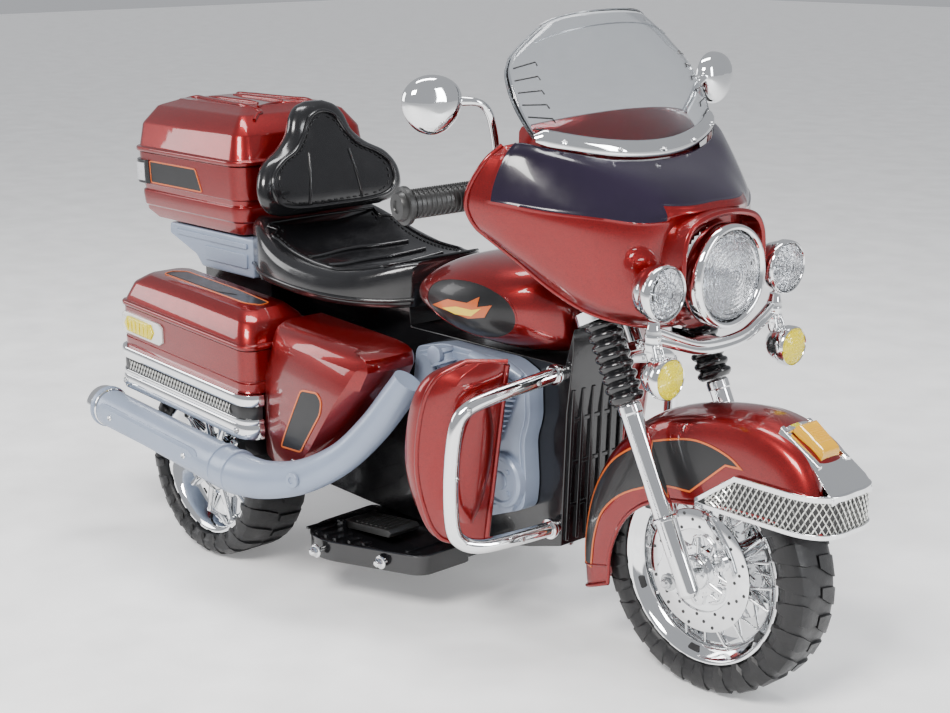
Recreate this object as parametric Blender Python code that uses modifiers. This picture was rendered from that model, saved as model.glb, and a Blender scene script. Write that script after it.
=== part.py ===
"""Child's battery ride-on touring motorcycle: three wheels, opening boxes, steered front end.

Metres. +X is forward, +Y the rider's left, +Z up, with the floor at z = 0. While it is
modelled, x is counted from the rear axle. The root empty then shifts the machine so that
its length is centred on x = 0. Pieces that steer are modelled straight ahead.
"""

from math import cos, pi, radians, sin

import bmesh
import bpy
from mathutils import Matrix, Vector

# Clearances
GAP = 0.0006                  # between neighbouring pieces
RUNNING_GAP = 0.0004          # around an axle or the steering shaft
SHELL = 0.003                 # wall of the moulded covers
SIDES = 20                    # sides of a round piece
WHEEL_SIDES = 24
SMALL_SIDES = 10
AXLE_SIDES = 16

# Wheels and axles
WHEELBASE = 0.768
FRONT_WHEEL_RADIUS = 0.150
FRONT_WHEEL_WIDTH = 0.073
FRONT_RIM_RADIUS = 0.114
REAR_WHEEL_RADIUS = 0.133
REAR_WHEEL_WIDTH = 0.099
REAR_RIM_RADIUS = 0.100
REAR_TRACK = 0.317            # between the middles of the two rear tyres
AXLE_RADIUS = 0.005

# Steering
RAKE = radians(26.0)
AXIS_BEHIND_AXLE = 0.016      # steering axis behind the front axle, measured along the floor
FORK_SPREAD = 0.156           # between the two fork legs
FORK_OFFSET = 0.0345          # fork legs ahead of the steering axis
FORK_RADIUS = 0.0125
STANCHION_RADIUS = 0.009
BELLOWS_RADIUS = 0.021
COLUMN_RADIUS = 0.010
HEAD_WALL = 0.014
BAR_RADIUS = 0.011
GRIP_WALL = 0.0055

# Body
FRAME_HALF = 0.052
ENGINE_HALF = 0.100
TANK_HALF = 0.104
SEAT_HALF = 0.134
TRUNK_HALF = 0.122
BAG_INNER = 0.097
ARCH_GAP = 0.0045             # rear tyre to the bag's outer skirt
SKIRT_WALL = 0.0115
BAG_SLOPE = 0.055             # bags and silencers fall towards the front
MUFFLER_RADIUS = 0.027
PIPE_RADIUS = 0.021
CRASH_TUBE_RADIUS = 0.0095

# Worked out from the above
REAR_WHEEL_Y = REAR_TRACK / 2
REAR_OUTER = REAR_WHEEL_Y + REAR_WHEEL_WIDTH / 2
REAR_INNER = REAR_WHEEL_Y - REAR_WHEEL_WIDTH / 2
SKIRT_INNER = REAR_OUTER + ARCH_GAP
BAG_OUTER = SKIRT_INNER + SKIRT_WALL
TRIM_THICK = 0.007
MUFFLER_Y = BAG_OUTER + TRIM_THICK + 0.014
TRUNK_REAR = -0.297
BUMPER_TIP = WHEELBASE + 0.186
FORK_Y = FORK_SPREAD / 2
AXLE_HEIGHT = FRONT_WHEEL_RADIUS
AXIS_FOOT = Vector((WHEELBASE - AXIS_BEHIND_AXLE, 0, AXLE_HEIGHT))
AXIS_UP = Vector((-sin(RAKE), 0, cos(RAKE)))
STEER_FRAME = Matrix.Translation(AXIS_FOOT) @ Matrix.Rotation(-RAKE, 4, "Y")

# Heights along the steering axis, from the front axle's level
LEG_LOW = -0.030
LEG_TOP = 0.200
BELLOWS_LOW = LEG_TOP + GAP
BELLOWS_TOP = 0.300
CLAMP_LOW = BELLOWS_TOP + GAP
CLAMP_TOP = CLAMP_LOW + 0.014
HEAD_LOW = CLAMP_TOP + GAP
HEAD_TOP = HEAD_LOW + 0.055
COLUMN_TOP = 0.452
BRACE_LOW = 0.256
CLAMP_REACH = 0.110              # as wide as the clamp gets inside the fairing's lower edge
STANCHION_TOP = CLAMP_TOP - 0.003
DROPOUT_HALF = 0.006


def axis_point(height):
    """The point of the steering axis at this height along it."""
    return AXIS_FOOT + AXIS_UP * height


# Handlebar, horn and mirrors
BAR_CENTRE = axis_point(COLUMN_TOP + 0.020)
GRIP_START = Vector((BAR_CENTRE.x + 0.001, 0.158, BAR_CENTRE.z + 0.004))
GRIP_END = Vector((BAR_CENTRE.x - 0.022, 0.268, BAR_CENTRE.z - 0.001))
BOSS_X = BAR_CENTRE.x + 0.003
BOSS_Y = 0.146
BOSS_TOP = BAR_CENTRE.z + 0.022
BOSS_RADIUS = 0.0085
HORN_Y = 0.120
HORN_RADIUS = 0.006
HORN_TOP = BAR_CENTRE.z + 0.018
HORN_TRAVEL = 0.003

# Fairing, windscreen and lamps
LAMP_X = WHEELBASE - 0.003
LAMP_Z = 0.494
LAMP_RADIUS = 0.058
SCREEN_FOOT = Vector((WHEELBASE - 0.103, 0, 0.622))   # middle of the windscreen's lower edge
SCREEN_HALF = 0.150
SCREEN_TOP = 0.780
PASSING_Y = 0.106
PASSING_Z = 0.489
PASSING_RADIUS = 0.032
PASSING_X = WHEELBASE + 0.006
AMBER_Y = 0.109
AMBER_Z = 0.396
AMBER_RADIUS = 0.024
AMBER_X = WHEELBASE + 0.016

# Front fender
FENDER_HALF = FRONT_WHEEL_WIDTH / 2 + 0.014

# Frame and what it carries
FRAME_NOSE = WHEELBASE - 0.196
FRAME_TOP = 0.360
SEAT_DECK = 0.386
BATTERY_LOW = Vector((0.035, -0.0325, 0.270))
BATTERY_SIZE = Vector((0.151, 0.065, 0.094))
BATTERY_ROOM = 0.003
ENGINE_NOSE = WHEELBASE - 0.240
BOARD_LOW = 0.0620
BOARD_TOP = 0.0895
BOARD_FRONT = WHEELBASE - 0.368
PEDAL_HALF = 0.026
PEDAL_PIN_RADIUS = 0.0025
PEDAL_HINGE = Vector((BOARD_FRONT - 0.150, -0.118, BOARD_TOP + 0.008))
BOLT_Z = 0.0755
BOLT_RADIUS = 0.0035
BOLT_REAR_X = BOARD_FRONT - 0.142
BOLT_FRONT_X = BOARD_FRONT - 0.052

# Rack, top box and saddlebags
RACK_TOP = 0.4440
TRUNK_FLOOR = RACK_TOP + GAP
TRUNK_SEAM = 0.5470
TRUNK_BACK = TRUNK_REAR + 0.012
TRUNK_LIP = 0.0015
BAG_REAR = -0.168
BAG_FRONT = 0.148
BAG_SEAM = 0.3360
BAG_CORNER = 0.022
ARCH_TOP = 2 * REAR_WHEEL_RADIUS + 0.010
SKIRT_LOW = 0.2130

COLOURS = {
    "red": ((0.42, 0.012, 0.010), 0.25, 0.55),
    "black": ((0.012, 0.012, 0.014), 0.30, 0.0),
    "charcoal": ((0.025, 0.022, 0.035), 0.22, 0.2),
    "grey": ((0.36, 0.40, 0.50), 0.45, 0.1),
    "chrome": ((0.82, 0.83, 0.85), 0.08, 1.0),
    "steel": ((0.55, 0.56, 0.58), 0.30, 1.0),
    "rubber": ((0.018, 0.018, 0.018), 0.75, 0.0),
    "clear": ((0.80, 0.85, 0.88), 0.05, 0.0),
    "amber": ((0.90, 0.60, 0.02), 0.15, 0.0),
    "battery": ((0.10, 0.12, 0.16), 0.50, 0.0),
}


# ---------------------------------------------------------------- scene and helpers

def clear_scene():
    for obj in list(bpy.data.objects):
        bpy.data.objects.remove(obj, do_unlink=True)


def new_collection(name, hidden=False):
    collection = bpy.data.collections.new(name)
    bpy.context.scene.collection.children.link(collection)
    collection.hide_render = hidden
    return collection


def material(colour):
    name = "finish_" + colour
    if name in bpy.data.materials:
        return bpy.data.materials[name]
    made = bpy.data.materials.new(name)
    made.use_nodes = True
    rgb, roughness, metallic = COLOURS[colour]
    shader = made.node_tree.nodes["Principled BSDF"]
    shader.inputs["Base Color"].default_value = (*rgb, 1)
    shader.inputs["Roughness"].default_value = roughness
    shader.inputs["Metallic"].default_value = metallic
    made.diffuse_color = (*rgb, 1)
    return made


def empty(name, location, parent=None, rotation=None):
    """A joint's axis, or the root. Its place is given in the modelling frame."""
    obj = bpy.data.objects.new(name, None)
    PARTS.objects.link(obj)
    matrix = Matrix.Translation(Vector(location))
    if rotation is not None:
        matrix = matrix @ rotation
    obj.matrix_world = matrix
    bpy.context.view_layer.update()
    if parent:
        hold(obj, parent)
    return obj


def hold(obj, parent):
    """Parents obj and leaves it where it is."""
    obj.parent = parent
    obj.matrix_parent_inverse = parent.matrix_world.inverted()
    return obj


def finish(obj, name, colour, parent):
    obj.name = name
    obj.data.name = name
    for collection in list(obj.users_collection):
        collection.objects.unlink(obj)
    PARTS.objects.link(obj)
    obj.data.materials.clear()
    obj.data.materials.append(material(colour))
    bpy.context.view_layer.update()
    return hold(obj, parent)


def raw(bm, matrix=None):
    """A mesh object from a bmesh, with its faces turned outwards."""
    bmesh.ops.recalc_face_normals(bm, faces=bm.faces)
    if bm.calc_volume(signed=True) < 0:
        bmesh.ops.reverse_faces(bm, faces=bm.faces)
    mesh = bpy.data.meshes.new("raw")
    bm.to_mesh(mesh)
    bm.free()
    if matrix is not None:
        mesh.transform(matrix)
    obj = bpy.data.objects.new("raw", mesh)
    bpy.context.scene.collection.objects.link(obj)
    return obj


def applied(obj):
    """The object's evaluated mesh as a plain mesh object, in the same place."""
    bpy.context.view_layer.update()
    graph = bpy.context.evaluated_depsgraph_get()
    mesh = bpy.data.meshes.new_from_object(obj.evaluated_get(graph))
    bm = bmesh.new()
    bm.from_mesh(mesh)
    bmesh.ops.remove_doubles(bm, verts=bm.verts, dist=0.00001)
    bmesh.ops.transform(bm, matrix=obj.matrix_world, verts=bm.verts)
    bpy.data.objects.remove(obj, do_unlink=True)
    return raw(bm)


def combine(obj, other, operation):
    """Unites obj with other, or cuts other out of it, and removes other."""
    modifier = obj.modifiers.new(operation.lower(), "BOOLEAN")
    modifier.operation = operation
    modifier.solver = "EXACT"
    modifier.object = other
    done = applied(obj)
    bpy.data.objects.remove(other, do_unlink=True)
    return done


def unite(obj, *others):
    for other in others:
        obj = combine(obj, other, "UNION")
    return obj


def cut(obj, *others):
    for other in others:
        obj = combine(obj, other, "DIFFERENCE")
    return obj


def block(low, high, bevel=0.0, matrix=None):
    """A box between two corners, with bevelled edges."""
    bm = bmesh.new()
    bmesh.ops.create_cube(bm, size=1)
    low, high = Vector(low), Vector(high)
    for vert in bm.verts:
        vert.co = Vector([low[i] + (vert.co[i] + 0.5) * (high[i] - low[i]) for i in range(3)])
    if bevel:
        bmesh.ops.bevel(bm, geom=bm.edges[:], offset=bevel, segments=1, affect="EDGES")
    return raw(bm, matrix)


def rod(start, end, radius, end_radius=None, sides=SIDES, matrix=None):
    """A cylinder or cone from start to end."""
    start, end = Vector(start), Vector(end)
    bm = bmesh.new()
    bmesh.ops.create_cone(
        bm, cap_ends=True, segments=sides, radius1=radius,
        radius2=radius if end_radius is None else end_radius, depth=(end - start).length)
    turn = (end - start).to_track_quat("Z", "Y").to_matrix().to_4x4()
    bmesh.ops.transform(bm, matrix=Matrix.Translation((start + end) / 2) @ turn, verts=bm.verts)
    return raw(bm, matrix)


def turned(profile, axis="Z", centre=(0, 0, 0), sides=SIDES, matrix=None, closed=False):
    """A profile of (radius, height) points, top to bottom on its outer side, turned round an axis."""
    bm = bmesh.new()
    verts = [bm.verts.new((radius, 0, height)) for radius, height in profile]
    for a, b in zip(verts, verts[1:]):
        bm.edges.new((a, b))
    if closed:
        bm.edges.new((verts[-1], verts[0]))
    mesh = bpy.data.meshes.new("profile")
    bm.to_mesh(mesh)
    bm.free()
    obj = bpy.data.objects.new("profile", mesh)
    bpy.context.scene.collection.objects.link(obj)
    screw = obj.modifiers.new("turn", "SCREW")
    screw.steps = sides
    screw.render_steps = sides
    screw.use_merge_vertices = True
    screw.merge_threshold = 0.00001
    turns = {"Z": Matrix.Identity(4), "Y": Matrix.Rotation(-pi / 2, 4, "X"),
             "X": Matrix.Rotation(pi / 2, 4, "Y")}
    place = Matrix.Translation(Vector(centre)) @ turns[axis]
    obj.matrix_world = place if matrix is None else matrix @ place
    return applied(obj)


def tube(points, radius, radii=None, smooth=True, resolution=3, matrix=None, steps=3, closed=False):
    """A round tube along points; radii holds one factor a point."""
    curve = bpy.data.curves.new("tube", "CURVE")
    curve.dimensions = "3D"
    curve.bevel_depth = radius
    curve.bevel_resolution = resolution
    curve.use_fill_caps = True
    curve.resolution_u = steps
    spline = curve.splines.new("BEZIER" if smooth else "POLY")
    holders = spline.bezier_points if smooth else spline.points
    holders.add(len(points) - 1)
    for index, (holder, point) in enumerate(zip(holders, points)):
        holder.co = Vector(point) if smooth else (*point, 1)
        holder.radius = radii[index] if radii else 1
        if smooth:
            holder.handle_left_type = "AUTO"
            holder.handle_right_type = "AUTO"
    spline.use_cyclic_u = closed
    obj = bpy.data.objects.new("tube", curve)
    bpy.context.scene.collection.objects.link(obj)
    if matrix is not None:
        obj.matrix_world = matrix
    return applied(obj)


def plate(outline, low, high, plane="XZ", bevel=0.0, matrix=None):
    """A flat outline extruded from low to high along the axis that the plane leaves out."""
    curve = bpy.data.curves.new("plate", "CURVE")
    curve.dimensions = "2D"
    curve.fill_mode = "BOTH"
    curve.extrude = (high - low) / 2
    spline = curve.splines.new("POLY")
    spline.points.add(len(outline) - 1)
    for holder, (a, b) in zip(spline.points, outline):
        holder.co = (a, b, 0, 1)
    spline.use_cyclic_u = True
    obj = bpy.data.objects.new("plate", curve)
    bpy.context.scene.collection.objects.link(obj)
    middle = (low + high) / 2
    if plane == "XZ":
        place = Matrix(((1, 0, 0, 0), (0, 0, -1, middle), (0, 1, 0, 0), (0, 0, 0, 1)))
    elif plane == "XY":
        place = Matrix.Translation((0, 0, middle))
    else:
        place = Matrix(((0, 0, 1, middle), (1, 0, 0, 0), (0, 1, 0, 0), (0, 0, 0, 1)))
    obj.matrix_world = place if matrix is None else matrix @ place
    made = applied(obj)
    if not bevel:
        return made
    bm = bmesh.new()
    bm.from_mesh(made.data)
    bpy.data.objects.remove(made, do_unlink=True)
    sharp = [edge for edge in bm.edges if len(edge.link_faces) == 2 and edge.calc_face_angle() > 1.2]
    bmesh.ops.bevel(bm, geom=sharp, offset=bevel, segments=1, affect="EDGES", clamp_overlap=True)
    return raw(bm)


def loft(rings, matrix=None):
    """A closed body through rings of equally many points, with flat ends."""
    bm = bmesh.new()
    made = [[bm.verts.new(point) for point in ring] for ring in rings]
    count = len(rings[0])
    for ring, after in zip(made, made[1:]):
        for i in range(count):
            j = (i + 1) % count
            bm.faces.new((ring[i], ring[j], after[j], after[i]))
    bm.faces.new(made[0])
    bm.faces.new(made[-1])
    return raw(bm, matrix)


def shell(rows, thickness, outward=1, levels=1, matrix=None):
    """An open surface through rows of points, smoothed and given a wall."""
    bm = bmesh.new()
    made = [[bm.verts.new(point) for point in row] for row in rows]
    for row, after in zip(made, made[1:]):
        for i in range(len(row) - 1):
            bm.faces.new((row[i], row[i + 1], after[i + 1], after[i]))
    mesh = bpy.data.meshes.new("shell")
    bm.to_mesh(mesh)
    bm.free()
    obj = bpy.data.objects.new("shell", mesh)
    bpy.context.scene.collection.objects.link(obj)
    if levels:
        smooth = obj.modifiers.new("smooth", "SUBSURF")
        smooth.levels = levels
        smooth.render_levels = levels
    wall = obj.modifiers.new("wall", "SOLIDIFY")
    wall.thickness = thickness
    wall.offset = outward
    made = applied(obj)
    if matrix is not None:
        made.data.transform(matrix)
    return made


def rounded(half_x, half_y, corner, z, centre_x=0.0, centre_y=0.0, steps=3):
    """A rectangle with round corners, as a ring of points at height z."""
    ring = []
    for quarter in range(4):
        sign_x = 1 if quarter in (0, 3) else -1
        sign_y = 1 if quarter in (0, 1) else -1
        for step in range(steps + 1):
            angle = (quarter + step / steps) * pi / 2
            ring.append((
                centre_x + sign_x * (half_x - corner) + corner * cos(angle),
                centre_y + sign_y * (half_y - corner) + corner * sin(angle), z))
    return ring


def span_ring(low_x, high_x, low_y, high_y, corner, z, steps=3):
    """rounded(), given by its sides."""
    return rounded((high_x - low_x) / 2, (high_y - low_y) / 2, corner, z,
                   (low_x + high_x) / 2, (low_y + high_y) / 2, steps)


def mirrored_row(half):
    """A full row from its left half, which starts on the middle plane."""
    return [(x, -y, z) for x, y, z in reversed(half[1:])] + list(half)


def flip_y(obj):
    """The same piece on the machine's other side."""
    bm = bmesh.new()
    bm.from_mesh(obj.data)
    for vert in bm.verts:
        vert.co.y = -vert.co.y
    return raw(bm)


def both_sides(name, build, colour, parents):
    """Builds a piece for the right side, and its mirror image for the left."""
    right = build()
    left = flip_y(right)
    finish(right, name + "_right", colour, parents[0])
    finish(left, name + "_left", colour, parents[1])


def sloped(obj):
    """Shears a bag or silencer so that it falls towards the front."""
    for vert in obj.data.vertices:
        vert.co.z -= BAG_SLOPE * vert.co.x
    return obj


# ---------------------------------------------------------------- wheels and axles

def tyre(radius, width, rim_radius, centre):
    half = width / 2
    shoulder = radius * 0.07
    seat = rim_radius + GAP
    profile = [(seat, half * 0.80), (rim_radius + 0.006, half * 0.93), (radius - 2 * shoulder, half),
               (radius - shoulder * 0.7, half * 0.93), (radius, half * 0.66), (radius, -half * 0.66),
               (radius - shoulder * 0.7, -half * 0.93), (radius - 2 * shoulder, -half),
               (rim_radius + 0.006, -half * 0.93), (seat, -half * 0.80)]
    return turned(profile, "Y", centre, sides=WHEEL_SIDES, closed=True)


def rim(rim_radius, half, hub_radius, hub_half, disc_radius, disc_half, bore, centre):
    """A plated rim: flange, dished web and hub, with the brake disc moulded on both faces."""
    edge = rim_radius - 0.010
    well = rim_radius - 0.016
    web = 0.007
    outer = [(bore, hub_half), (hub_radius, hub_half), (hub_radius, disc_half),
             (disc_radius, disc_half), (disc_radius, web), (well, web), (edge, half),
             (rim_radius, half)]
    lower = [(r, -h) for r, h in reversed(outer)]
    return turned(outer + lower, "Y", centre, sides=WHEEL_SIDES, closed=True)


def make_wheels():
    front = (WHEELBASE, 0, AXLE_HEIGHT)
    bore = AXLE_RADIUS + RUNNING_GAP
    finish(tyre(FRONT_WHEEL_RADIUS, FRONT_WHEEL_WIDTH, FRONT_RIM_RADIUS, front),
           "front_tyre", "rubber", FRONT_WHEEL)
    finish(rim(FRONT_RIM_RADIUS, FRONT_WHEEL_WIDTH * 0.40, 0.022, FRONT_WHEEL_WIDTH / 2 + 0.009,
               0.074, FRONT_WHEEL_WIDTH / 2 - 0.004, bore, front), "front_rim", "chrome", FRONT_WHEEL)
    for side, sign, holder in (("right", -1, REAR_WHEEL_RIGHT), ("left", 1, REAR_WHEEL_LEFT)):
        centre = (0, sign * REAR_WHEEL_Y, REAR_WHEEL_RADIUS)
        finish(tyre(REAR_WHEEL_RADIUS, REAR_WHEEL_WIDTH, REAR_RIM_RADIUS, centre),
               "rear_tyre_" + side, "rubber", holder)
        finish(rim(REAR_RIM_RADIUS, REAR_WHEEL_WIDTH * 0.40, 0.024, REAR_WHEEL_WIDTH / 2 - 0.004,
                   0.040, REAR_WHEEL_WIDTH * 0.30, bore, centre), "rear_rim_" + side, "chrome", holder)


def nut_and_axle(half_length, x, z, nut_radius, nut_length):
    """An axle with a domed nut on each end."""
    axle = rod((x, -half_length, z), (x, half_length, z), AXLE_RADIUS, sides=AXLE_SIDES)
    for sign in (-1, 1):
        start = sign * (half_length - nut_length)
        middle = sign * (half_length - nut_length * 0.4)
        nut = rod((x, start, z), (x, middle, z), nut_radius, sides=6)
        dome = rod((x, middle - sign * 0.0005, z), (x, sign * (half_length + 0.0015), z),
                   nut_radius * 0.8, nut_radius * 0.45, sides=SMALL_SIDES)
        axle = unite(axle, nut, dome)
    return axle


def make_axles():
    half = FORK_Y + DROPOUT_HALF + GAP + 0.009
    finish(nut_and_axle(half, WHEELBASE, AXLE_HEIGHT, 0.0065, 0.009), "front_axle", "steel", STEERING)
    half = REAR_OUTER - 0.004 + GAP + 0.009
    finish(nut_and_axle(half, 0, REAR_WHEEL_RADIUS, 0.0085, 0.009), "rear_axle", "steel", ROOT)


# ---------------------------------------------------------------- steering

def make_column():
    """Shaft with its chrome clamp, which takes both stanchions, and the brace between the bellows."""
    shaft = rod((0, 0, BRACE_LOW), (0, 0, COLUMN_TOP), COLUMN_RADIUS, matrix=STEER_FRAME)
    outer = min(FORK_Y + 0.019, CLAMP_REACH)
    outline = [(-0.018, -0.03), (0.008, -outer), (0.052, -outer), (0.052, outer), (0.008, outer),
               (-0.018, 0.03)]
    clamp = plate(outline, CLAMP_LOW, CLAMP_TOP, "XY", matrix=STEER_FRAME)
    inner = FORK_Y - BELLOWS_RADIUS - GAP
    brace = block((-0.012, -inner, BRACE_LOW), (0.040, inner, BRACE_LOW + 0.012), matrix=STEER_FRAME)
    column = unite(shaft, clamp, brace)
    for sign in (-1, 1):
        hole = rod((FORK_OFFSET, sign * FORK_Y, CLAMP_LOW - 0.01),
                   (FORK_OFFSET, sign * FORK_Y, STANCHION_TOP + GAP),
                   STANCHION_RADIUS + RUNNING_GAP, matrix=STEER_FRAME)
        column = cut(column, hole)
    finish(column, "steering_column", "chrome", STEERING)


def fork_leg():
    """Chrome lower leg with its stanchion, and the dropout behind it that holds the axle."""
    profile = [(0, STANCHION_TOP), (STANCHION_RADIUS, STANCHION_TOP), (STANCHION_RADIUS, LEG_TOP),
               (FORK_RADIUS, LEG_TOP), (FORK_RADIUS, LEG_LOW + 0.004), (FORK_RADIUS - 0.004, LEG_LOW),
               (0, LEG_LOW)]
    leg = turned(profile, "Z", (FORK_OFFSET, -FORK_Y, 0), sides=16, matrix=STEER_FRAME)
    axle = STEER_FRAME.inverted() @ Vector((WHEELBASE, 0, AXLE_HEIGHT))
    outline = [(FORK_OFFSET, 0.050), (axle.x + 0.002, 0.022), (axle.x - 0.013, 0.010),
               (axle.x - 0.014, -0.012),
               (axle.x - 0.002, -0.019), (FORK_OFFSET, -0.022)]
    ear = plate(outline, -FORK_Y - DROPOUT_HALF, -FORK_Y + DROPOUT_HALF, "XZ", matrix=STEER_FRAME)
    hole = rod((axle.x, -FORK_Y - 0.03, axle.z), (axle.x, -FORK_Y + 0.03, axle.z),
               AXLE_RADIUS + RUNNING_GAP, matrix=STEER_FRAME)
    return cut(unite(leg, ear), hole)


def bellows():
    """Rubber boot with round folds round the stanchion."""
    inner = STANCHION_RADIUS + GAP
    folds = 6
    pitch = (BELLOWS_TOP - BELLOWS_LOW) / folds
    profile = [(inner, BELLOWS_TOP)]
    for fold in range(folds):
        top = BELLOWS_TOP - fold * pitch
        profile += [(BELLOWS_RADIUS - 0.005, top), (BELLOWS_RADIUS, top - pitch / 2)]
    profile += [(BELLOWS_RADIUS - 0.005, BELLOWS_LOW), (inner, BELLOWS_LOW)]
    return turned(profile, "Z", (FORK_OFFSET, -FORK_Y, 0), sides=14, matrix=STEER_FRAME, closed=True)


def make_handlebar():
    """Bar with its clamp over the column and the bosses that take the mirrors."""
    left = [(BAR_CENTRE.x, 0, BAR_CENTRE.z), (BAR_CENTRE.x + 0.004, 0.075, BAR_CENTRE.z + 0.002),
            tuple(GRIP_START), tuple(GRIP_END)]
    points = mirrored_row(left)
    bar = tube(points, BAR_RADIUS, smooth=False, resolution=3)
    low = COLUMN_TOP + GAP
    clamp = block((-0.020, -0.026, low), (0.020, 0.026, low + 0.034), 0.003, matrix=STEER_FRAME)
    bar = unite(bar, clamp)
    for sign in (-1, 1):
        bar = unite(bar, rod((BOSS_X, sign * BOSS_Y, BAR_CENTRE.z - 0.004),
                             (BOSS_X, sign * BOSS_Y, BOSS_TOP), BOSS_RADIUS, sides=SMALL_SIDES + 4))
    button_hole = rod((BOSS_X, -HORN_Y, BAR_CENTRE.z), (BOSS_X, -HORN_Y, BAR_CENTRE.z + 0.03),
                      HORN_RADIUS + RUNNING_GAP, sides=16)
    pod = rod((BOSS_X, -HORN_Y, BAR_CENTRE.z - 0.008), (BOSS_X, -HORN_Y, HORN_TOP), 0.0115, sides=16)
    bar = cut(unite(bar, pod), button_hole)
    finish(bar, "handlebar", "black", STEERING)


def make_horn_button():
    low = BAR_CENTRE.z + GAP + HORN_TRAVEL
    button = turned([(0, HORN_TOP + 0.006), (HORN_RADIUS * 0.7, HORN_TOP + 0.0055),
                     (HORN_RADIUS, HORN_TOP + 0.003),
                     (HORN_RADIUS, low), (0, low)], "Z", (BOSS_X, -HORN_Y, 0), sides=16)
    finish(button, "horn_button", "red", HORN)


def grip():
    """Black sleeve with a flange at its outer end, closed there, over the bar's end."""
    start = Vector((GRIP_START.x, -GRIP_START.y, GRIP_START.z))
    end = Vector((GRIP_END.x, -GRIP_END.y, GRIP_END.z))
    along = (end - start).normalized()
    length = (end - start).length
    sleeve = BAR_RADIUS + GRIP_WALL
    bore = BAR_RADIUS + 0.0006
    profile = [(0, length + 0.006), (sleeve * 0.9, length + 0.006), (sleeve, length + 0.004),
               (sleeve, length - 0.002), (sleeve + 0.005, length - 0.002),
               (sleeve + 0.005, length - 0.007),
               (sleeve, length - 0.007), (sleeve, 0.006), (sleeve - 0.002, 0.004), (bore, 0.004),
               (bore, length + GAP), (0, length + GAP)]
    turn = along.to_track_quat("Z", "Y").to_matrix().to_4x4()
    return turned(profile, "Z", (0, 0, 0), sides=16, matrix=Matrix.Translation(start) @ turn)


def mirror():
    """Chrome stem, bent outwards, with its oval shell and the glass side to the rear."""
    x = BOSS_X
    foot = rod((x, -BOSS_Y, BOSS_TOP + GAP), (x, -BOSS_Y, BOSS_TOP + 0.010), 0.0075, sides=16)
    points = [(x, -BOSS_Y, BOSS_TOP + 0.004), (x + 0.010, -BOSS_Y - 0.010, BOSS_TOP + 0.035),
              (x + 0.018, -BOSS_Y - 0.026, BOSS_TOP + 0.070),
              (x + 0.016, -BOSS_Y - 0.044, BOSS_TOP + 0.088),
              (x + 0.006, -BOSS_Y - 0.062, BOSS_TOP + 0.091)]
    stem = tube(points, 0.0045, smooth=True, resolution=2, steps=2)
    bm = bmesh.new()
    bmesh.ops.create_uvsphere(bm, u_segments=14, v_segments=8, radius=1)
    for vert in bm.verts:
        depth = 0.020 if vert.co.x > 0 else 0.004
        vert.co = Vector((vert.co.x * depth, vert.co.y * (0.036 + 0.005 * vert.co.z),
                          vert.co.z * 0.033))
    place = Matrix.Translation((x - 0.006, -BOSS_Y - 0.092,
                                BOSS_TOP + 0.088)) @ Matrix.Rotation(radians(-12), 4, "Z")
    return unite(foot, stem, raw(bm, place))


# ---------------------------------------------------------------- fairing and lamps

def screen_foot(share):
    """The windscreen's lower edge; share runs from -1 at the right corner to 1 at the left."""
    return SCREEN_FOOT + Vector((-0.050 * share ** 2, SCREEN_HALF * share, 0.022 * share ** 2))


def screen_point(share, height):
    """A point of the windscreen's outer face: height is 0 at its foot and 1 at its top."""
    foot = screen_foot(share)
    widen = 1 + 0.06 * sin(pi * min(height * 1.3, 1)) - 0.30 * max(0, (height - 0.62) / 0.38) ** 2.2
    top_z = SCREEN_TOP - 0.012 * share ** 2
    drop = 0.022 * abs(share) ** 6 * height
    return Vector((foot.x - 0.078 * height + 0.012 * height * share ** 2, foot.y * widen,
                   foot.z + (top_z - foot.z) * height - drop))


def fairing_rows():
    """Right-to-left rows of the batwing fairing, from its lower edge to the windscreen's foot."""
    nose = WHEELBASE
    halves = [
        [(nose - 0.060, 0, 0.430), (nose - 0.062, 0.040, 0.431), (nose - 0.072, 0.078, 0.438),
         (nose - 0.105, 0.112, 0.452),
         (nose - 0.140, 0.138, 0.478), (nose - 0.170, 0.160, 0.508), (nose - 0.196, 0.182, 0.535)],
        [(nose - 0.030, 0, 0.446), (nose - 0.031, 0.042, 0.447), (nose - 0.048, 0.082, 0.456),
         (nose - 0.086, 0.122, 0.470),
         (nose - 0.128, 0.150, 0.494), (nose - 0.166, 0.174, 0.520), (nose - 0.200, 0.194, 0.546)],
        [(nose - 0.026, 0, 0.500), (nose - 0.027, 0.044, 0.500), (nose - 0.043, 0.088, 0.502),
         (nose - 0.078, 0.130, 0.510),
         (nose - 0.122, 0.162, 0.526), (nose - 0.164, 0.186, 0.542), (nose - 0.204, 0.202, 0.560)],
        [(nose - 0.020, 0, 0.556), (nose - 0.022, 0.046, 0.556), (nose - 0.042, 0.090, 0.550),
         (nose - 0.076, 0.134, 0.556),
         (nose - 0.118, 0.168, 0.562), (nose - 0.160, 0.192, 0.570), (nose - 0.205, 0.206, 0.576)],
        [(nose - 0.016, 0, 0.572), (nose - 0.020, 0.046, 0.571), (nose - 0.050, 0.090, 0.574),
         (nose - 0.086, 0.130, 0.586),
         (nose - 0.124, 0.164, 0.594), (nose - 0.160, 0.188, 0.598), (nose - 0.200, 0.203, 0.596)],
        [(nose - 0.050, 0, 0.596), (nose - 0.054, 0.046, 0.596), (nose - 0.076, 0.086, 0.604),
         (nose - 0.104, 0.122, 0.616),
         (nose - 0.134, 0.154, 0.624), (nose - 0.160, 0.176, 0.628), (nose - 0.188, 0.192, 0.622)],
        [(nose - 0.098, 0, 0.6165), (nose - 0.100, 0.046, 0.6180), (nose - 0.108, 0.082, 0.6220),
         (nose - 0.122, 0.116, 0.6290),
         (nose - 0.146, 0.146, 0.6370), (nose - 0.162, 0.162, 0.6420), (nose - 0.180, 0.174, 0.6380)],
    ]
    return [mirrored_row(half) for half in halves]


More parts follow.
